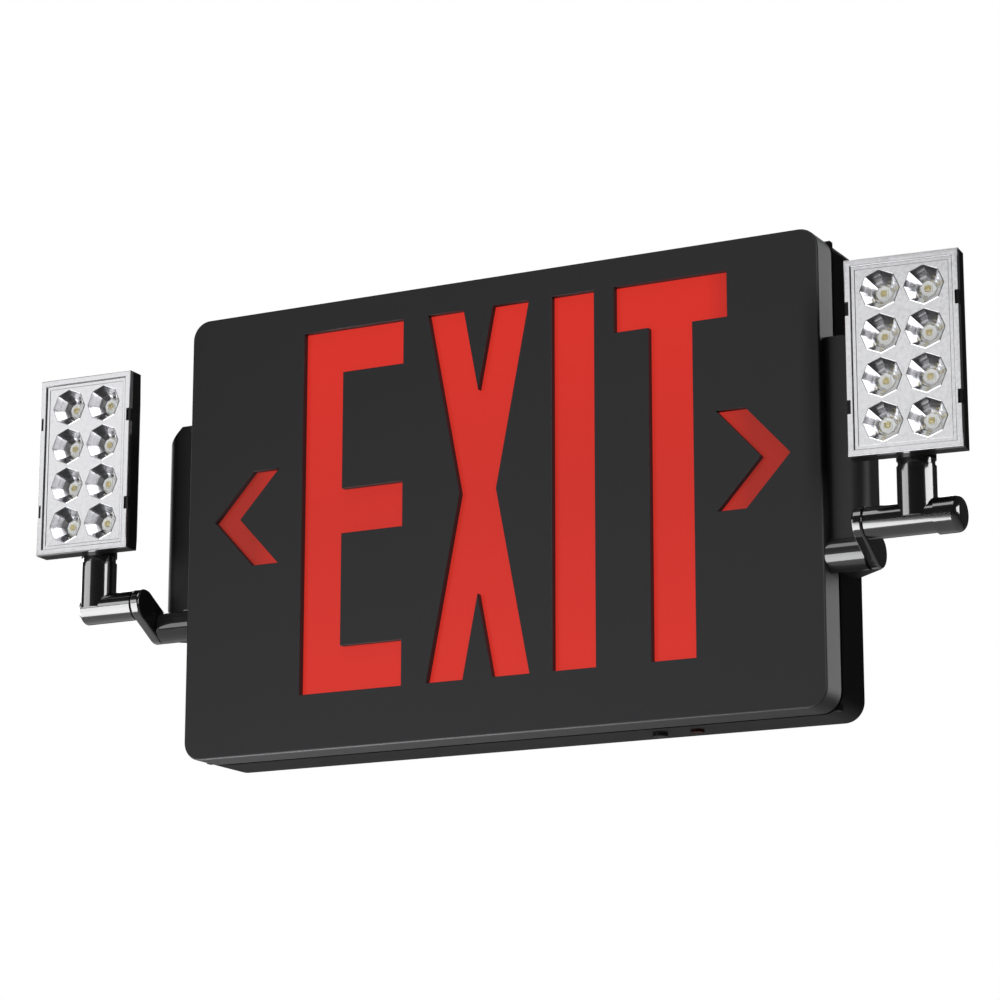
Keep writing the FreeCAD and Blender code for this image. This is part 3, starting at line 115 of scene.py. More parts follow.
deselect_all()
bpy.ops.mesh.primitive_plane_add(size=FLOOR_WIDE, location=(0, 0, -FLOOR_DROP))
floor = bpy.context.object
floor.name = "studio_floor"
floor_paint = bpy.data.materials.new("floor_paint")
floor_paint.use_nodes = True
paint = floor_paint.node_tree
matt_face = paint.nodes["Principled BSDF"]
matt_face.inputs["Base Color"].default_value = grey(MATT_TONE)
matt_face.inputs["Roughness"].default_value = 0.9
pale_face = add(paint, "Emission", Color=grey(PALE_TONE))
upper_side = one_or_other(
    paint, add(paint, "LightPath").outputs["Is Camera Ray"],
    matt_face.outputs["BSDF"], pale_face.outputs["Emission"],
)
both_sides = one_or_other(
    paint, add(paint, "NewGeometry").outputs["Backfacing"],
    upper_side, add(paint, "BsdfTransparent").outputs["BSDF"],
)
paint.links.new(both_sides, paint.nodes["Material Output"].inputs["Surface"])
floor.data.materials.append(floor_paint)
print("floor lies", FLOOR_DROP, "m under the middle of the fitting")

# %% [markdown]
# ## The room
# Glossy black plastic has no colour of its own to show: it is drawn by what it mirrors. A
# white room would turn it grey, so the room is dark for every reflection and white only where
# the camera looks at it directly.

# %% Room
ROOM_TONE = 0.03
world = bpy.data.worlds.new("studio_room")
bpy.context.scene.world = world
world.use_nodes = True
room = world.node_tree
dark_room = room.nodes["Background"]
dark_room.inputs["Color"].default_value = grey(ROOM_TONE)
backdrop = add(room, "Background", Color=grey(1))
seen = one_or_other(
    room, add(room, "LightPath").outputs["Is Camera Ray"],
    dark_room.outputs["Background"], backdrop.outputs["Background"],
)
room.links.new(seen, room.nodes["World Output"].inputs["Surface"])
print("room tone:", ROOM_TONE, "with a white backdrop")

# %% [markdown]
# ## Soft panels
# Small lamps would leave hard dots on the gloss. Large soft panels leave calm, even shapes,
# as softboxes do. Four of them light the fitting from the front, from above and from behind.
# The face panel is later kept off the silver, the arms and the right pod. They get panels of
# their own near the end, once they are dressed.

# %% Lamps for the whole fitting
def soft_panel(name, turn, lift, far, size, shine):
    """A soft panel that faces the fitting. turn is degrees to the right of straight in
    front, lift is degrees above it, and shine is the brightness of its face."""
    data = bpy.data.lights.new(name, "AREA")
    data.shape = "RECTANGLE"
    data.size, data.size_y = size
    data.energy = shine * math.pi * size[0] * size[1]
    lamp = bpy.data.objects.new(name, data)
    turn, lift = math.radians(turn), math.radians(lift)
    level = math.cos(lift)
    toward = Vector((math.sin(turn) * level, -math.cos(turn) * level, math.sin(lift)))
    lamp.location = toward * far
    lamp.rotation_euler = (-toward).to_track_quat("-Z", "Y").to_euler()
    lamp.visible_camera = False
    bpy.context.scene.collection.objects.link(lamp)
    return lamp


face_panel = soft_panel("face_panel", -26, 2, 1.9, (1.1, 0.8), 1.7)
soft_panel("top_panel", -5, 62, 1.6, (1.2, 0.8), 1.6)
soft_panel("back_panel", 205, 30, 1.9, (1.3, 0.8), 2.6)
soft_panel("left_back_panel", -112, 16, 1.8, (0.9, 1.0), 3.0)

# %% [markdown]
# ## Helpers for materials
# Most finishes here are moulded plastic or bare metal. Each gets its own material, so that
# each can be told from its neighbour. Written out one by one they would repeat the same few
# lines, so small helpers make a material, lead a value or a colour into one of its sockets,
# press a relief into it and put it on a piece.

# %% Material helpers
def new_material(name, colour, roughness, metallic=0.0):
    """A material with its Principled shader set, with its node tree and that shader."""
    material = bpy.data.materials.new(name)
    material.use_nodes = True
    shader = material.node_tree.nodes["Principled BSDF"]
    shader.inputs["Base Color"].default_value = (*colour, 1)
    shader.inputs["Roughness"].default_value = roughness
    shader.inputs["Metallic"].default_value = metallic
    return material, material.node_tree, shader


def spread(tree, value, low, high, socket):
    """Stretches a 0 to 1 value to the range low to high, into a socket."""
    node = add(tree, "MapRange", To_Min=low, To_Max=high)
    tree.links.new(value, node.inputs["Value"])
    tree.links.new(node.outputs["Result"], socket)


def tint(tree, value, dark, light, socket):
    """A colour between two, by a 0 to 1 value, into a socket."""
    node = tree.nodes.new("ShaderNodeMix")
    node.data_type = "RGBA"
    tree.links.new(value, node.inputs["Factor"])
    node.inputs[6].default_value = (*dark, 1)
    node.inputs[7].default_value = (*light, 1)
    tree.links.new(node.outputs[2], socket)


def bump(tree, shader, height, strength, deep):
    """Small relief, deep metres from its lowest to its highest point."""
    node = add(tree, "Bump", Strength=strength, Distance=deep)
    tree.links.new(height, node.inputs["Height"])
    tree.links.new(node.outputs["Normal"], shader.inputs["Normal"])


def wear(objects, material):
    """The named CAD pieces or new objects wear this one material."""
    for o in objects:
        o = nodes[o] if isinstance(o, str) else o
        o.data.materials.clear()
        o.data.materials.append(material)


print("pieces that need a finish:", len(nodes))

# %% [markdown]
# ### Moulded grain
# A black housing is never quite black or quite smooth: the steel mould is spark-eroded, and
# its fine pits print into the plastic. An image of such a grain would need unwrapping, so two
# noises make it, one at the size of the pits and one, far larger, for the slight unevenness
# of the sheen. They read Object coordinates, so the grain stays put on the piece at every
# pose. The group puts out values only, and the shader stays in each material.

# %% Grain group
def make_grain_group():
    """The node group that every plastic and metal shares, with its two noises."""
    group = bpy.data.node_groups.new("moulded_grain", "ShaderNodeTree")
    face = group.interface
    face.new_socket("Pits per metre", in_out="INPUT", socket_type="NodeSocketFloat")
    face.new_socket("Clouds per metre", in_out="INPUT", socket_type="NodeSocketFloat")
    face.new_socket("Pits", in_out="OUTPUT", socket_type="NodeSocketFloat")
    face.new_socket("Clouds", in_out="OUTPUT", socket_type="NodeSocketFloat")
    inside = group.nodes.new("NodeGroupInput")
    outside = group.nodes.new("NodeGroupOutput")
    place = add(group, "TexCoord")
    pits = add(group, "TexNoise", Detail=3.0, Roughness=0.6)
    clouds = add(group, "TexNoise", Detail=4.0, Roughness=0.55)
    for socket, noise in enumerate((pits, clouds)):
        group.links.new(place.outputs["Object"], noise.inputs["Vector"])
        group.links.new(inside.outputs[socket], noise.inputs["Scale"])
        group.links.new(noise.outputs["Fac"], outside.inputs[socket])
    return group


grain_group = make_grain_group()


def use_grain(tree, pits_per_metre, clouds_per_metre):
    """The pits and the clouds of the grain, at this material's own sizes."""
    node = tree.nodes.new("ShaderNodeGroup")
    node.node_tree = grain_group
    node.inputs["Pits per metre"].default_value = pits_per_metre
    node.inputs["Clouds per metre"].default_value = clouds_per_metre
    return node.outputs["Pits"], node.outputs["Clouds"]


print("grain group:", grain_group.name, "with", len(grain_group.nodes), "nodes")

# %% [markdown]
# ### Black plastics
# The box comes from a rough mould and looks satin, the lamp heads are a little smoother, and
# the arms come from a polished mould. A Principled shader alone would leave all three flat,
# so each takes its pits, its clouds and its sheen from the grain. The arms also get a hard
# clear coat, which is how a polished surface looks over a duller body.

# %% Black plastics
PIT_DEEP = 0.06 * MM
POLISHED_IOR = 1.9


def moulded_plastic(name, dark, light, rough_low, rough_high, pits=2600, clouds=9,
                    pit_strength=0.25):
    """Grained thermoplastic: pits in the bump, clouds in the colour and the sheen."""
    material, tree, shader = new_material(name, light, rough_high)
    pit_height, cloud_tone = use_grain(tree, pits, clouds)
    tint(tree, cloud_tone, dark, light, shader.inputs["Base Color"])
    spread(tree, cloud_tone, rough_low, rough_high, shader.inputs["Roughness"])
    bump(tree, shader, pit_height, pit_strength, PIT_DEEP)
    return material


def gloss_coat(shader):
    """A hard clear coat, which is what a polished mould gives."""
    shader.inputs["Coat Weight"].default_value = 1.0
    shader.inputs["Coat IOR"].default_value = POLISHED_IOR
    shader.inputs["Coat Roughness"].default_value = 0.06


housing_plastic = moulded_plastic(
    "housing_plastic", (0.0105, 0.0105, 0.012), (0.0155, 0.0155, 0.017), 0.5, 0.62
)
head_plastic = moulded_plastic(
    "head_plastic", (0.010, 0.010, 0.011), (0.016, 0.016, 0.017), 0.34, 0.46
)
arm_plastic = moulded_plastic(
    "arm_plastic", (0.004, 0.004, 0.0045), (0.007, 0.007, 0.0075), 0.13, 0.2, pit_strength=0.04
)
arm_shader = arm_plastic.node_tree.nodes["Principled BSDF"]
arm_shader.inputs["IOR"].default_value = POLISHED_IOR
gloss_coat(arm_shader)
print("plastics:", housing_plastic.name, head_plastic.name, arm_plastic.name)

# %% [markdown]
# ## The stencil cover
# The real cover is one moulding: a shallow tray whose face is 3 mm thick, with the letters
# and the two arrows left open so that the red sheet behind shows through. Its outline is
# already right in CAD, so a copy is taken and merged, its flat faces are joined, and the
# openings are cut with a Boolean, which is the sure way to cut sharp-cornered holes.
# Each stroke of a letter is a block. A slanted stroke is a block whose upper face was slid
# sideways, so that its ends stay level.

# %% Strokes of the lettering
FACE_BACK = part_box("red_diffuser")[0].y
FACE_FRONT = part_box("front_cover")[0].y
LETTER_MID = 5.5 * MM
LETTER_HIGH = 152.4 * MM
STROKE = 18.8 * MM
THROUGH = 1.0 * MM
BEHIND = 0.4 * MM
FACING = 0.9
strokes = []


def settled():
    """The new primitive, once its place, turn and size are in its mesh."""
    bpy.ops.object.transform_apply(location=True, rotation=True, scale=True)
    return bpy.context.object


def block(low, high):
    """A box between two corners."""
    deselect_all()
    bpy.ops.mesh.primitive_cube_add(
        size=1,
        location=[(a + b) / 2 for a, b in zip(low, high)],
        scale=[b - a for a, b in zip(low, high)],
    )
    return settled()


def select_where(obj, test, kind="FACE"):
    """In edit mode, selects the faces or edges that pass the test, and counts them."""
    bpy.ops.mesh.select_mode(type=kind)
    bpy.ops.mesh.select_all(action="DESELECT")
    mesh = bmesh.from_edit_mesh(obj.data)
    parts = {"FACE": mesh.faces, "EDGE": mesh.edges}[kind]
    hits = 0
    for part in parts:
        chosen = bool(test(part))
        part.select_set(chosen)
        hits += chosen
    mesh.select_flush_mode()
    bmesh.update_edit_mesh(obj.data)
    return hits


def stroke(x_left, x_right, z_low, z_high, slide=0.0):
    """A block through the cover's face. Its upper end is slid sideways by slide."""
    piece = block((x_left, FACE_FRONT - THROUGH, z_low), (x_right, FACE_BACK + BEHIND, z_high))
    if slide:
        bpy.ops.object.mode_set(mode="EDIT")
        select_where(piece, lambda f: f.normal.z > FACING)
        bpy.ops.transform.translate(value=(slide, 0, 0))
        bpy.ops.object.mode_set(mode="OBJECT")
    strokes.append(piece)


print("cover's face:", round((FACE_BACK - FACE_FRONT) / MM, 2), "mm thick")

# %% [markdown]
# ### E, X, I, T
# The letters are six inches high, with strokes about three quarters of an inch wide, which is
# what a sign that is read from thirty metres needs. A font could be used, but its letters
# would have to be stretched to these strokes, and plain blocks are quicker to set out.

# %% Letters
LOW, HIGH = LETTER_MID - LETTER_HIGH / 2, LETTER_MID + LETTER_HIGH / 2
OVERLAP = 1 * MM
E_LEFT, E_WIDE = -87.4 * MM, 47.2 * MM
E_BAR_DROP = 1.4 * MM
stroke(E_LEFT, E_LEFT + STROKE, LOW, HIGH)
for bar_low in (LOW, LETTER_MID - E_BAR_DROP - STROKE / 2, HIGH - STROKE):
    stroke(E_LEFT + STROKE - OVERLAP, E_LEFT + E_WIDE, bar_low, bar_low + STROKE)

X_LEFT, X_WIDE, X_ARM = -28.7 * MM, 46.2 * MM, 16.4 * MM
lean = X_WIDE - X_ARM
stroke(X_LEFT, X_LEFT + X_ARM, LOW, HIGH, slide=lean)
stroke(X_LEFT + lean, X_LEFT + X_WIDE, LOW, HIGH, slide=-lean)

I_LEFT = 27.7 * MM
stroke(I_LEFT, I_LEFT + STROKE, LOW, HIGH)

T_LEFT, T_WIDE = 55.4 * MM, 48.7 * MM
stroke(T_LEFT, T_LEFT + T_WIDE, HIGH - STROKE, HIGH)
t_stem = T_LEFT + (T_WIDE - STROKE) / 2
stroke(t_stem, t_stem + STROKE, LOW, HIGH - STROKE + OVERLAP)
print("strokes of the letters:", len(strokes))

# %% [markdown]
# ### Arrows
# Each arrow is two slanted strokes that meet at the outer point. On many such covers they
# are thin webs, and the installer breaks out the one on the side where the exit lies. Both
# are lit here, so both are cut. One loop makes them, as each is the mirror of the other.

# %% Arrows
ARROW_TIP, ARROW_END = 129.5 * MM, 98.8 * MM
ARROW_ARM, ARROW_HALF = 12.2 * MM, 20 * MM
reach = ARROW_TIP - ARROW_END - ARROW_ARM
for side in (-1, 1):
    left, right = sorted((side * ARROW_END, side * (ARROW_END + ARROW_ARM)))
    slant = side * reach
    stroke(left, right, LETTER_MID - ARROW_HALF, LETTER_MID, slide=slant)
    stroke(left + slant, right + slant, LETTER_MID, LETTER_MID + ARROW_HALF, slide=-slant)
print("strokes with the arrows:", len(strokes))

# %% [markdown]
# ### Cutting the openings
# A copy of the CAD cover is merged and its flat areas are joined into single faces. The
# strokes are joined to one cutter, and the Boolean takes them out. The strokes overlap where
# they cross, so the Boolean is told that its cutter may pass through itself.

# %% Cut the cover
def work_on(obj):
    """Only this object is selected, and operators act on it."""
    deselect_all()
    obj.select_set(True)
    bpy.context.view_layer.objects.active = obj


def joined(objects, name):
    """All the objects as one, under a name of its own."""
    work_on(objects[0])
    for o in objects:
        o.select_set(True)
    bpy.ops.object.join()
    objects[0].name = name
    return objects[0]


def merged_copy(node, name):
    """A copy of a CAD piece with its loose triangles merged and its flats made whole."""
    copy = bpy.data.objects.new(name, nodes[node].data.copy())
    bpy.context.scene.collection.objects.link(copy)
    work_on(copy)
    bpy.ops.object.mode_set(mode="EDIT")
    bpy.ops.mesh.select_all(action="SELECT")
    bpy.ops.mesh.remove_doubles(threshold=0.002 * MM)
    bpy.ops.mesh.dissolve_limited(angle_limit=math.radians(0.5))
    bpy.ops.object.mode_set(mode="OBJECT")
    return copy


def cut_out(target, cutter, overlapping=False):
    """Takes the cutter out of the target, and removes the cutter."""
    tool = target.modifiers.new("cut", "BOOLEAN")
    tool.operation = "DIFFERENCE"
    tool.solver = "EXACT"
    tool.use_self = overlapping
    tool.object = cutter
    work_on(target)
    bpy.ops.object.modifier_apply(modifier=tool.name)
    bpy.data.objects.remove(cutter)


sign_cover = merged_copy("front_cover", "sign_cover")
before = len(sign_cover.data.polygons)
cut_out(sign_cover, joined(strokes, "lettering_cutter"), overlapping=True)
print("cover faces before and after the cut:", before, len(sign_cover.data.polygons))

# %% [markdown]
# ### Softening the rims
# No moulded edge is sharp. The rim of each opening gets a quarter of a millimetre of bevel,
# which catches a thin line of light. A Bevel modifier would round every edge of the cover,
# and its outer edges are round already, so only the rims are picked, by where they lie.

# %% Bevel the rims
RIM_SOFT = 0.25 * MM
OUTER_MARGIN = 6 * MM
TINY = 0.01 * MM
BENT = 0.5
cover_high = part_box("front_cover")[1]


def on_rim(edge):
    """An edge in the plane of the face, away from the cover's outer outline."""
    flat = all(abs(v.co.y - FACE_FRONT) < TINY for v in edge.verts)
    inside = all(
        abs(v.co.x) < cover_high.x - OUTER_MARGIN and abs(v.co.z) < cover_high.z - OUTER_MARGIN
        for v in edge.verts
    )
    return flat and inside and len(edge.link_faces) == 2 and edge.calc_face_angle(0) > BENT


def smooth_with_flats(obj, angle):
    """Smooth shading that leaves the large flat faces flat, by weighting normals by area."""
    work_on(obj)
    bpy.ops.object.shade_smooth_by_angle(angle=math.radians(angle))
    weigh = obj.modifiers.new("flats_stay_flat", "WEIGHTED_NORMAL")
    weigh.mode = "FACE_AREA"
    weigh.weight = 100
    weigh.keep_sharp = True
    bpy.ops.object.modifier_apply(modifier=weigh.name)


bpy.ops.object.mode_set(mode="EDIT")
rim_edges = select_where(sign_cover, on_rim, kind="EDGE")
bpy.ops.mesh.bevel(offset=RIM_SOFT, segments=2)
bpy.ops.object.mode_set(mode="OBJECT")
smooth_with_flats(sign_cover, 28)
wear([sign_cover], housing_plastic)
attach(sign_cover, "housing")
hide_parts("front_cover")
print("rim edges softened:", rim_edges)

# %% [markdown]
# ## The red sheet
# Behind the cover lies a sheet of red acrylic, lit by two strips of lamps, one along the top
# of the tray and one along its bottom. Real lamps behind it would take long to render and
# leave noise, so an emission on the shader makes it glow instead: a little stronger near the
# strips, and weaker behind the arrows, where the strips come to their ends. Its satin face
# still takes a faint sheen.

# %% Red sheet
def by_distance(tree, value, near, far, at_near, at_far):
    """A value that goes from at_near to at_far as the distance from the middle grows."""
    away = add(tree, "Math")
    away.operation = "ABSOLUTE"
    tree.links.new(value, away.inputs[0])
    ramp = add(
        tree, "MapRange", From_Min=near, From_Max=far, To_Min=at_near, To_Max=at_far
    )
    tree.links.new(away.outputs[0], ramp.inputs["Value"])
    return ramp.outputs["Result"]


SHEET_TOP = 85 * MM
FULL_TO, DIM_FROM = 94 * MM, 112 * MM
red_acrylic, tree, shader = new_material("red_acrylic", (0.42, 0.012, 0.008), 0.38)
axes = add(tree, "SeparateXYZ")
tree.links.new(add(tree, "TexCoord").outputs["Object"], axes.inputs["Vector"])
up_and_down = by_distance(tree, axes.outputs["Z"], 0.0, SHEET_TOP, 0.75, 1.0)
left_and_right = by_distance(tree, axes.outputs["X"], FULL_TO, DIM_FROM, 1.0, 0.15)
both = add(tree, "Math")
both.operation = "MULTIPLY"
tree.links.new(up_and_down, both.inputs[0])
tree.links.new(left_and_right, both.inputs[1])
tint(tree, both.outputs[0], (0.22, 0.020, 0.014), (0.565, 0.026, 0.017),
     shader.inputs["Emission Color"])
shader.inputs["Emission Strength"].default_value = 1.0
shader.inputs["Specular IOR Level"].default_value = 0.2
pit_height = use_grain(tree, 900, 20)[0]
bump(tree, shader, pit_height, 0.1, 0.05 * MM)
wear(["red_diffuser"], red_acrylic)
print("red sheet glows in full to", round(FULL_TO / MM), "mm from the middle")

# %% [markdown]
# ## The lamp heads
# The face of each lamp head is one vacuum-metallised moulding: a flange with a raised border
# and eight cups, each with a lamp at its bottom. A spun, smooth cup would mirror one soft
# blob. Such cups are often pressed in facets, which break the reflection into sharp pieces,
# so each is built from an eight-sided ring that is extruded inwards and narrowed in steps.
# The panel is modelled once, upright at the origin, and then copied to both sides.

# %% Where a head stands
HEAD_WIDE, HEAD_HIGH = 44 * MM, 76 * MM
FLANGE_FRONT, FLANGE_THICK = -14 * MM, 1.5 * MM
CUP_STEP = 17 * MM
AIM = {"left": 2.4, "right": 5.0}
CUP_SPOTS = [
    (column * CUP_STEP / 2, HEAD_HIGH / 2 + row * CUP_STEP / 2)
    for column in (-1, 1)
    for row in (-3, -1, 1, 3)
]


def head_matrix(side):
    """From the upright head at the origin to its place on the arm."""
    low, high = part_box("pan_post_" + side)
    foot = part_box("head_housing_" + side)[0].z
    place = Vector(((low.x + high.x) / 2, (low.y + high.y) / 2, foot))
    return Matrix.Translation(place) @ Matrix.Rotation(math.radians(AIM[side]), 4, "Z")


for side in AIM:
    print(side, "head stands at", [round(v / MM, 2) for v in head_matrix(side).translation])

# %% [markdown]
# ### Flange and border
# A block becomes the flange. Insetting its front face leaves a ring of faces at the rim, and
# extruding that ring raises the border. A small bevel gives the border its bright line. A
# second inset, pressed in by a hair, draws the fainter line inside it.

# %% Flange
BORDER_WIDE, BORDER_HIGH, BORDER_SOFT = 2.6 * MM, 0.8 * MM, 0.35 * MM
LINE_IN, LINE_WIDE = 1.3 * MM, 0.2 * MM
BORDER_FRONT = FLANGE_FRONT - BORDER_HIGH


def faces_front(face):
    """A face that looks straight out of the front."""
    return face.normal.y < -FACING


def on_border(face):
    """A front face that reaches past the inset, to the rim of the flange."""
    return faces_front(face) and any(
        abs(v.co.x) > HEAD_WIDE / 2 - BORDER_WIDE + TINY for v in face.verts
    )


def in_middle(face):
    """The front face that the border goes round."""
    middle = face.calc_center_median()
    return faces_front(face) and abs(middle.x) < TINY and abs(middle.z - HEAD_HIGH / 2) < TINY


def on_border_rim(edge):
    """A sharp edge of the raised border."""
    raised = all(abs(v.co.y - BORDER_FRONT) < TINY for v in edge.verts)
    return raised and edge.calc_face_angle(0) > BENT


flange = block(
    (-HEAD_WIDE / 2, FLANGE_FRONT, 0), (HEAD_WIDE / 2, FLANGE_FRONT + FLANGE_THICK, HEAD_HIGH)
)
flange.name = "reflector_flange"
bpy.ops.object.mode_set(mode="EDIT")
select_where(flange, faces_front)
bpy.ops.mesh.inset(thickness=BORDER_WIDE)
select_where(flange, on_border)
bpy.ops.mesh.extrude_region_move(TRANSFORM_OT_translate={"value": (0, -BORDER_HIGH, 0)})
select_where(flange, in_middle)
bpy.ops.mesh.inset(thickness=LINE_IN)
bpy.ops.mesh.inset(thickness=LINE_WIDE, depth=-LINE_WIDE)
rim = select_where(flange, on_border_rim, kind="EDGE")
bpy.ops.mesh.bevel(offset=BORDER_SOFT, segments=3)
bpy.ops.object.mode_set(mode="OBJECT")
print("border edges rounded:", rim)

# %% [markdown]
# ### Openings in the flange
# The flange is cut for the eight cups and, at its sides, for the four hooks of the housing
# that hold it. A Boolean for each would do, but all the cutters are joined, so that one does
# the work. They reach past both faces, because a cut that ends just on a face is unsure.

# %% Cut the flange
FACETS = 8
MOUTH_RADIUS = 7.6 * MM
HOOK_WIDE, HOOK_HIGH, HOOK_RISE = 1.6 * MM, 5.4 * MM, 19 * MM
CUTTER_DEEP, PAST_SIDE = 6 * MM, 1 * MM
IN_FRONT, AT_BACK = 2 * MM, 3 * MM
cutters = []
for x, z in CUP_SPOTS:
    deselect_all()
    bpy.ops.mesh.primitive_cylinder_add(
        vertices=FACETS, radius=MOUTH_RADIUS, depth=CUTTER_DEEP,
        location=(x, FLANGE_FRONT, z), rotation=(math.pi / 2, 0, 0),
    )
    cutters.append(settled())
for side in (-1, 1):
    for z in (HEAD_HIGH / 2 - HOOK_RISE, HEAD_HIGH / 2 + HOOK_RISE):
        edge = side * HEAD_WIDE / 2
        left, right = sorted((edge + side * PAST_SIDE, edge - side * HOOK_WIDE))
        cutters.append(block((left, FLANGE_FRONT - IN_FRONT, z - HOOK_HIGH / 2),
                             (right, FLANGE_FRONT + AT_BACK, z + HOOK_HIGH / 2)))
cut_out(flange, joined(cutters, "flange_cutter"))
smooth_with_flats(flange, 30)
print("flange faces:", len(flange.data.polygons))

# %% [markdown]
# ### One cup
# The ring of eight edges at the mouth is extruded and narrowed three times. Solidify gives
# the wall its thickness on the outside, so the mirror side keeps its measures. Its faces stay
# flat shaded, for the facets are the point.

# %% Cup
CUP_WALL = 0.5 * MM
CUP_RINGS = [
    (0.05 * MM, MOUTH_RADIUS), (2.4 * MM, 6.3 * MM), (4.6 * MM, 4.8 * MM), (6.45 * MM, 3.0 * MM)
]


def make_cup(x, z):
    """A faceted cup with its mouth at x, z in the flange."""
    deselect_all()
    depth, radius = CUP_RINGS[0]
    bpy.ops.mesh.primitive_circle_add(
        vertices=FACETS, radius=radius, location=(x, FLANGE_FRONT + depth, z),
        rotation=(math.pi / 2, 0, 0),
    )
    cup = settled()
    bpy.ops.object.mode_set(mode="EDIT")
    bpy.ops.mesh.select_all(action="SELECT")
    for deeper, narrower in CUP_RINGS[1:]:
        bpy.ops.mesh.extrude_edges_move(
            TRANSFORM_OT_translate={"value": (0, deeper - depth, 0)}
        )
        share = narrower / radius
        bpy.ops.transform.resize(
            value=(share, 1, share), center_override=(x, FLANGE_FRONT + deeper, z)
        )
        depth, radius = deeper, narrower
    bpy.ops.mesh.select_all(action="SELECT")
    bpy.ops.mesh.normals_make_consistent(inside=True)
    bpy.ops.object.mode_set(mode="OBJECT")
    wall = cup.modifiers.new("wall", "SOLIDIFY")
    wall.thickness = CUP_WALL
    wall.offset = -1
    bpy.ops.object.modifier_apply(modifier=wall.name)
    return cup


reflector = joined([flange] + [make_cup(x, z) for x, z in CUP_SPOTS], "reflector")
print("reflector faces:", len(reflector.data.polygons))

# %% [markdown]
# ### Vacuum-metallised silver
# Aluminium laid on plastic mirrors almost like chrome, but the plastic under it is a little
# wavy, and handling leaves the shine uneven. A plain mirror shader would look drawn, so a
# wide noise bends the reflection slightly, and a finer one varies the roughness.

# %% Silver
silver, tree, shader = new_material("metallised_silver", (0.86, 0.86, 0.88), 0.14, 1.0)
pit_height, cloud_tone = use_grain(tree, 700, 90)
spread(tree, pit_height, 0.08, 0.24, shader.inputs["Roughness"])
bump(tree, shader, cloud_tone, 0.10, 0.3 * MM)
wear([reflector], silver)
print("silver is worn by", reflector.name)

# %% [markdown]
# ### Finishes of a lamp
# Each lamp is a chip the size of a lentil: a white ceramic base, a patch of cream phosphor
# and a clear dome of silicone over it. The dome is clear in the shader too, with the
# refraction of silicone, because a white dome would hide the phosphor that shows through.

# %% Ceramic, phosphor and silicone
ceramic, tree, shader = new_material("lamp_ceramic", (0.78, 0.78, 0.75), 0.45)
cloud_tone = use_grain(tree, 5000, 400)[1]
tint(tree, cloud_tone, (0.70, 0.70, 0.67), (0.82, 0.82, 0.79), shader.inputs["Base Color"])
phosphor, tree, shader = new_material("lamp_phosphor", (0.80, 0.70, 0.34), 0.6)
pit_height = use_grain(tree, 9000, 900)[0]
tint(tree, pit_height, (0.74, 0.62, 0.26), (0.86, 0.78, 0.45), shader.inputs["Base Color"])
silicone, tree, shader = new_material("lamp_dome", (1, 1, 1), 0.03)
shader.inputs["Transmission Weight"].default_value = 1.0
shader.inputs["IOR"].default_value = 1.41
print("lamp finishes:", ceramic.name, phosphor.name, silicone.name)

# %% [markdown]
# ### One lamp
# The base is a bevelled block, and the phosphor is a face that is inset and raised on it. The
# dome is a sphere cut off just above the base and squashed to its height: its round top
# catches the small bright dot that tells it from a flat chip.

# %% Lamp
CUP_DEEP = 6.5 * MM
LAMP_BACK = FLANGE_FRONT + CUP_DEEP
LAMP_SIDE, LAMP_BASE, LAMP_SOFT = 3.5 * MM, 0.45 * MM, 0.12 * MM
PHOSPHOR_IN, PHOSPHOR_HIGH = 0.55 * MM, 0.08 * MM
DOME_RADIUS, DOME_HIGH, DOME_LIFT = 1.5 * MM, 0.72 * MM, 0.09 * MM
SQUARE_ON = 0.99


def make_base(x, z, front):
    """The ceramic base with the phosphor raised on its front."""
    half = LAMP_SIDE / 2
    base = block((x - half, front, z - half), (x + half, LAMP_BACK, z + half))
    bpy.ops.object.mode_set(mode="EDIT")
    bpy.ops.mesh.select_all(action="SELECT")
    bpy.ops.mesh.bevel(offset=LAMP_SOFT, segments=2)
    select_where(base, lambda f: f.normal.y < -SQUARE_ON)
    bpy.ops.mesh.inset(thickness=PHOSPHOR_IN)
    bpy.ops.mesh.extrude_region_move(TRANSFORM_OT_translate={"value": (0, -PHOSPHOR_HIGH, 0)})
    base.data.materials.append(ceramic)
    base.data.materials.append(phosphor)
    base.active_material_index = 1
    bpy.ops.object.material_slot_assign()
    bpy.ops.object.mode_set(mode="OBJECT")
    return base


def make_dome(x, z, foot):
    """The silicone dome, cut off at its foot."""
    deselect_all()
    bpy.ops.mesh.primitive_uv_sphere_add(
        segments=20, ring_count=12, radius=DOME_RADIUS, location=(x, foot + DOME_LIFT, z),
        rotation=(math.pi / 2, 0, 0),
    )
    dome = settled()
    bpy.ops.object.mode_set(mode="EDIT")
    bpy.ops.mesh.select_all(action="SELECT")
    bpy.ops.mesh.bisect(
        plane_co=(x, foot, z), plane_no=(0, 1, 0), use_fill=True, clear_outer=True
    )
    bpy.ops.mesh.select_all(action="SELECT")
    bpy.ops.transform.resize(
        value=(1, DOME_HIGH / DOME_RADIUS, 1), center_override=(x, foot, z)
    )
    bpy.ops.object.mode_set(mode="OBJECT")
    bpy.ops.object.shade_smooth_by_angle(angle=math.radians(40))
    dome.data.materials.append(silicone)
    return dome


def make_lamp(x, z):
    """A lamp at the bottom of the cup at x, z."""
    front = LAMP_BACK - LAMP_BASE
    return [make_base(x, z, front), make_dome(x, z, front - DOME_LIFT)]


lamps = joined([part for x, z in CUP_SPOTS for part in make_lamp(x, z)], "lamps")
print("lamp faces:", len(lamps.data.polygons), "slots:", [m.name for m in lamps.data.materials])

# %% [markdown]
# ### Both heads
# The panel and its lamps are copied to each side. Linked copies would share one mesh, but the
# two heads are turned by different angles, so each copy keeps its own mesh, with its place in
# the mesh, and rides on its head.

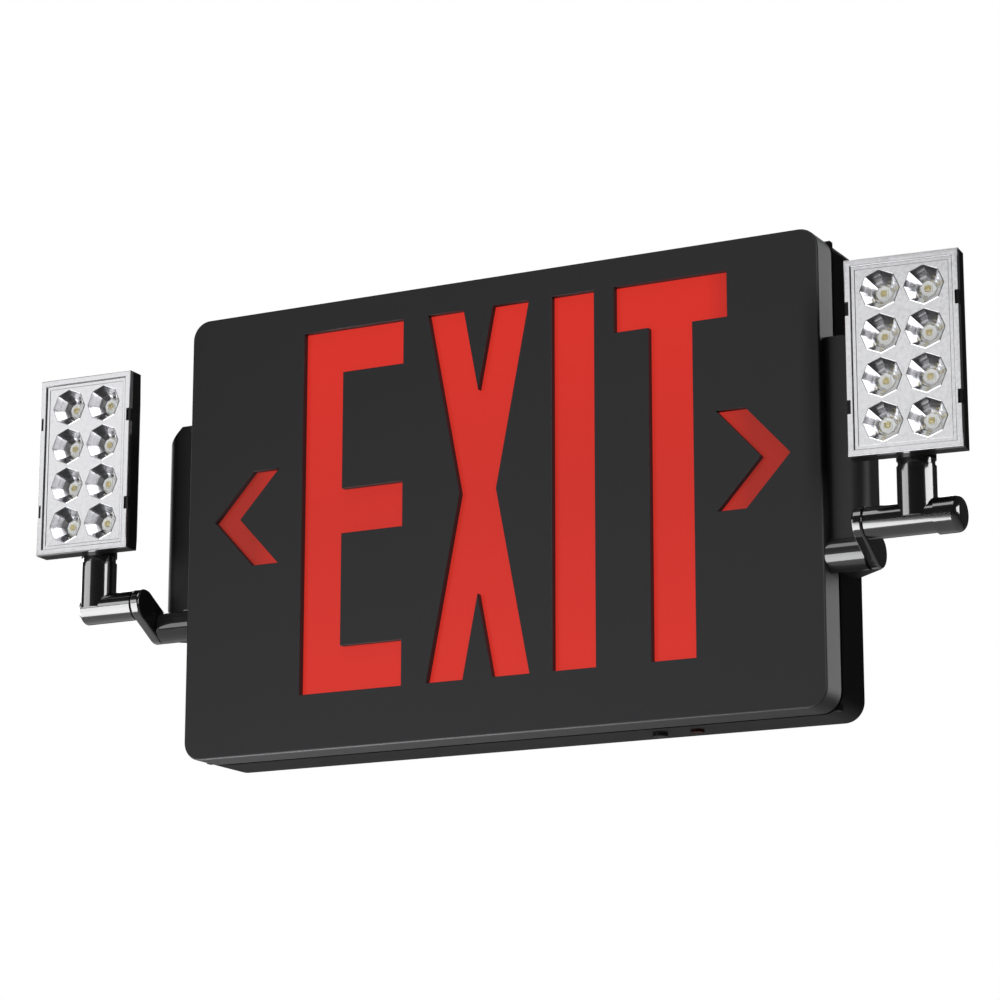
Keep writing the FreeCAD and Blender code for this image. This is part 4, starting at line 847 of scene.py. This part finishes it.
# %% Place the heads
def placed_copy(model, name, side, node):
    """A copy of a finished model on one head, in place of a CAD piece."""
    copy = bpy.data.objects.new(name, model.data.copy())
    copy.data.transform(head_matrix(side))
    bpy.context.scene.collection.objects.link(copy)
    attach(copy, side + "_head")
    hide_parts(node)
    return copy


silver_pieces, lamp_pieces = [], []
for side in AIM:
    silver_pieces.append(placed_copy(
        reflector, "reflector_" + side, side, "reflector_panel_" + side
    ))
    lamp_pieces.append(placed_copy(lamps, "lamps_" + side, side, "head_leds_" + side))
for model in (reflector, lamps):
    bpy.data.objects.remove(model)
print("heads dressed:", [o.name for o in silver_pieces + lamp_pieces])

# %% [markdown]
# ## The pods and the arms
# The barrel that ends each pod is polished, because the link turns against it, while the rest
# of the pod is satin. The pod is one CAD piece, so it can't wear two materials without being
# cut up. Its material measures how far each point lies from the swing axis instead, and its
# clear coat ends just outside the barrel.

# %% Box, pods, heads and arms
BARREL_RADIUS, SWING_FORWARD = 6.5 * MM, 31 * MM
COAT_FULL, COAT_GONE = BARREL_RADIUS + 0.1 * MM, BARREL_RADIUS + 0.5 * MM
swing_axis = Vector((0, -SWING_FORWARD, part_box("swing_link_right")[0].z + BARREL_RADIUS))


def vector_math(tree, operation, vector, other=(0, 0, 0)):
    """One step of vector arithmetic. The second vector is the same all over the piece."""
    node = add(tree, "VectorMath")
    node.operation = operation
    tree.links.new(vector, node.inputs[0])
    node.inputs[1].default_value = other
    return node


pod_plastic = moulded_plastic(
    "pod_plastic", (0.0105, 0.0105, 0.012), (0.0155, 0.0155, 0.017), 0.46, 0.56
)
tree = pod_plastic.node_tree
shader = tree.nodes["Principled BSDF"]
from_axis = vector_math(tree, "SUBTRACT", add(tree, "TexCoord").outputs["Object"], swing_axis)
across = vector_math(tree, "MULTIPLY", from_axis.outputs["Vector"], (0, 1, 1))
how_far = vector_math(tree, "LENGTH", across.outputs["Vector"])
polished = add(
    tree, "MapRange", From_Min=COAT_FULL, From_Max=COAT_GONE, To_Min=1.0, To_Max=0.0
)
tree.links.new(how_far.outputs["Value"], polished.inputs["Value"])
gloss_coat(shader)
tree.links.new(polished.outputs["Result"], shader.inputs["Coat Weight"])

ARM_PIECES = [n for n in nodes if n.startswith(("swing_link", "tilt_tee", "end_cap", "pan_post"))]
wear(["back_box"], housing_plastic)
wear(["side_pod_left", "side_pod_right"], pod_plastic)
wear(["head_housing_left", "head_housing_right"], head_plastic)
wear(ARM_PIECES, arm_plastic)
print("swing axis at", [round(v / MM, 1) for v in swing_axis], "mm, arm pieces:", len(ARM_PIECES))

# %% [markdown]
# ## Inside the box
# Most of what follows is hidden behind the cover, but the pieces are real, and a section or an
# exploded view shows them. One black for all would be quicker, but a reader could then not
# tell a relay from a capacitor. So each finish has its own colour, sheen and size of grain.
# The tray is matt white, for its one task is to scatter the light of the strips.

# %% Boards, tray and components
LED_PLATES = ["led_plate_left", "led_plate_right"]
tray_white = moulded_plastic("tray_white", (0.72, 0.72, 0.70), (0.80, 0.80, 0.78), 0.5, 0.62)
board_white = moulded_plastic(
    "board_white", (0.66, 0.67, 0.66), (0.76, 0.77, 0.76), 0.3, 0.42, 4000, 150, 0.05
)
board_green = moulded_plastic(
    "board_green", (0.010, 0.075, 0.028), (0.016, 0.11, 0.040), 0.24, 0.36, 5000, 260, 0.08
)
component_black = moulded_plastic(
    "component_black", (0.011, 0.011, 0.012), (0.022, 0.022, 0.023), 0.34, 0.5, 4000, 160
)
sleeve_black = moulded_plastic(
    "sleeve_black", (0.010, 0.010, 0.013), (0.018, 0.018, 0.022), 0.18, 0.3, 3000, 120, 0.06
)
terminal_green = moulded_plastic(
    "terminal_green", (0.016, 0.17, 0.050), (0.026, 0.24, 0.075), 0.36, 0.48, 3000, 120
)
battery_wrap = moulded_plastic(
    "battery_wrap", (0.018, 0.060, 0.20), (0.028, 0.090, 0.27), 0.2, 0.34, 1200, 60, 0.12
)
coil_tape = moulded_plastic(
    "coil_tape", (0.50, 0.36, 0.045), (0.62, 0.47, 0.080), 0.26, 0.4, 1500, 90, 0.1
)
wear(["light_tray"], tray_white)
wear(LED_PLATES, board_white)
wear(["charger_board", "led_strip_upper", "led_strip_lower"], board_green)
wear(["relay", "test_switch"], component_black)
wear(["capacitors"], sleeve_black)
wear(["terminal_block"], terminal_green)
wear(["battery_pack"], battery_wrap)
wear(["transformer_coil"], coil_tape)
print("inside finishes:", len(bpy.data.materials), "materials so far")

# %% [markdown]
# ### Metals
# Zinc on steel is grey and slightly mottled, where its crystals catch the light differently.
# Brass nuts are turned, and tarnish a little. Both come from one helper, since only their
# colour and sheen differ.

# %% Zinc and brass
def bare_metal(name, dark, light, rough_low, rough_high):
    """Plated or turned metal: mottled in its colour, uneven in its sheen."""
    material, tree, shader = new_material(name, light, rough_high, 1.0)
    pit_height, cloud_tone = use_grain(tree, 3500, 500)
    tint(tree, cloud_tone, dark, light, shader.inputs["Base Color"])
    spread(tree, pit_height, rough_low, rough_high, shader.inputs["Roughness"])
    bump(tree, shader, pit_height, 0.1, 0.03 * MM)
    return material


zinc_plate = bare_metal("zinc_plate", (0.46, 0.47, 0.49), (0.66, 0.67, 0.69), 0.24, 0.42)
brass = bare_metal("brass", (0.56, 0.38, 0.14), (0.76, 0.56, 0.25), 0.2, 0.36)
zinc_pieces = [n for n in nodes if "screw" in n or n.startswith("pivot_washers")]
brass_pieces = [n for n in nodes if n.startswith(("pivot_nuts", "post_nut"))]
wear(["battery_strap"] + zinc_pieces, zinc_plate)
wear(brass_pieces, brass)
print("zinc pieces:", len(zinc_pieces) + 1, "brass pieces:", len(brass_pieces))

# %% [markdown]
# ### The transformer's core
# The core is a stack of punched sheets half a millimetre thick, whose edges show as fine
# lines. Modelling every sheet would cost many faces for lines that are barely seen, so a
# wave texture draws them, in the colour and in a slight relief.

# %% Core steel
SHEET_THICK = 0.5 * MM
core_steel, tree, shader = new_material("core_steel", (0.20, 0.20, 0.21), 0.45, 1.0)
sheets = add(tree, "TexWave", Scale=math.tau / (20 * SHEET_THICK), Distortion=0.4)
sheets.bands_direction = "Z"
tree.links.new(add(tree, "TexCoord").outputs["Object"], sheets.inputs["Vector"])
tint(tree, sheets.outputs["Fac"], (0.09, 0.085, 0.08), (0.25, 0.25, 0.26),
     shader.inputs["Base Color"])
bump(tree, shader, sheets.outputs["Fac"], 0.3, 0.05 * MM)
wear(["transformer_core"], core_steel)
print("core sheets are", SHEET_THICK / MM, "mm thick")

# %% [markdown]
# ### Cross recess
# The four case screws show on the back. Each head has the cross that the driver fits. A bump
# could draw it, but would look flat from close by, so it is cut with two crossed blocks,
# about a millimetre deep. The heads stand at the corners of the piece's box.

# %% Case screw heads
CROSS_LONG, CROSS_WIDE, CROSS_DEEP = 4.2 * MM, 0.9 * MM, 1.1 * MM
SCREW_HEAD_RADIUS, ABOVE_HEAD = 3.5 * MM, 1 * MM
screw_low, screw_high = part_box("case_screws")
crosses = []
for x in (screw_low.x + SCREW_HEAD_RADIUS, screw_high.x - SCREW_HEAD_RADIUS):
    for z in (screw_low.z + SCREW_HEAD_RADIUS, screw_high.z - SCREW_HEAD_RADIUS):
        for wide, high in ((CROSS_LONG, CROSS_WIDE), (CROSS_WIDE, CROSS_LONG)):
            crosses.append(block((x - wide / 2, screw_high.y - CROSS_DEEP, z - high / 2),
                                 (x + wide / 2, screw_high.y + ABOVE_HEAD, z + high / 2)))
cross_screws = merged_copy("case_screws", "cross_screws")
cut_out(cross_screws, joined(crosses, "cross_cutter"), overlapping=True)
smooth_with_flats(cross_screws, 30)
wear([cross_screws], zinc_plate)
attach(cross_screws, "housing")
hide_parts("case_screws")
print("screw heads cut:", len(crosses) // 2, "faces:", len(cross_screws.data.polygons))

# %% [markdown]
# ### Red chips, lens and button
# The red chips on the strips glow, since the sign is lit: their material is a copy of the
# unlit one with an emission, so that the two match. The pilot lens under the box is a deep,
# unlit red and the button a dark grey, so that neither draws the eye from the sign.

# %% Small coloured pieces
red_chip = moulded_plastic(
    "red_chip", (0.42, 0.020, 0.014), (0.56, 0.034, 0.022), 0.2, 0.32, 4000, 300, 0.05
)
lit_chip = red_chip.copy()
lit_chip.name = "red_chip_lit"
shader = lit_chip.node_tree.nodes["Principled BSDF"]
shader.inputs["Emission Color"].default_value = (1, 0.05, 0.02, 1)
shader.inputs["Emission Strength"].default_value = 3.0
dark_lens = moulded_plastic(
    "dark_lens", (0.045, 0.002, 0.0015), (0.070, 0.003, 0.002), 0.12, 0.2, 3000, 150, 0.03
)
button_grey = moulded_plastic(
    "button_grey", (0.016, 0.016, 0.017), (0.026, 0.026, 0.028), 0.36, 0.5, 3200, 140
)
wear(["sign_leds"], lit_chip)
wear(["status_led"], red_chip)
wear(["status_lens"], dark_lens)
wear(["test_button"], button_grey)
bare = [n for n, o in nodes.items() if not o.data.materials or o.data.materials[0] is None]
print("pieces without a finish:", bare)

# %% [markdown]
# ## Light for the silver
# In a real studio, black cards keep the light for the silver off the black plastic. Here,
# light linking does that: a panel may be told which pieces it shines on. The silver faces
# mirror two bright sheets in front, one for each head, and a third one below. They stay dark
# where the cups turn to the side, which draws their pattern. A strong panel almost straight
# in front reaches only the lamps and the boards that they stand on.

# %% Panels for the silver
def link_light(lamp, pieces, state="INCLUDE"):
    """The panel shines on these pieces only or, with EXCLUDE, on all but these."""
    group = bpy.data.collections.new(lamp.name + "_pieces")
    for piece in pieces:
        group.objects.link(nodes[piece] if isinstance(piece, str) else piece)
    lamp.light_linking.receiver_collection = group
    for entry in group.collection_objects:
        entry.light_linking.link_state = state


bright_pieces = silver_pieces + lamp_pieces + LED_PLATES
glossy_pieces = ARM_PIECES + ["side_pod_right"]
link_light(face_panel, bright_pieces + glossy_pieces, state="EXCLUDE")
link_light(soft_panel("silver_right", -13, 15, 1.9, (0.9, 0.42), 0.86), bright_pieces)
link_light(soft_panel("silver_left", -36, 15, 2.1, (0.8, 0.42), 0.92), bright_pieces)
link_light(soft_panel("silver_low", 4, -36, 0.75, (0.9, 0.4), 2.2), bright_pieces)
link_light(soft_panel("chip_panel", 6, -4, 1.5, (0.7, 0.5), 9.0), lamp_pieces + LED_PLATES)
print("pieces lit as silver:", len(bright_pieces))

# %% [markdown]
# ## Light for the arms and for the cover's sides
# The arms mirror a wide panel at the right and another at the left, which draw bright lines
# along their stems, and a low band, which draws those of the barrels. The right pod takes
# the first and the last with them. The cover is matt enough to need help at its sides: a
# panel behind on the right turns that side grey, which tells the cover from the box behind
# it, and two strips draw the front edges. Each panel is linked to the pieces it is meant
# for, so that a light strong enough for one finish doesn't wash out another.

# %% Panels for the arms and the cover
link_light(soft_panel("low_band", -31, -22, 0.75, (0.62, 0.66), 4.2), glossy_pieces)
link_light(soft_panel("right_strip", 92, 14, 1.8, (1.5, 0.6), 4.0), glossy_pieces)
link_light(soft_panel("left_strip", -48, 14, 1.8, (1.4, 0.5), 2.2), ARM_PIECES)
link_light(soft_panel("side_edge_strip", 50, 12, 1.8, (0.16, 1.2), 26.0), [sign_cover])
link_light(soft_panel("side_back_panel", 152, 13, 1.8, (0.9, 1.3), 3.2), [sign_cover])
link_light(soft_panel("low_edge_strip", -62, -58, 0.6, (0.5, 0.14), 20.0), [sign_cover])
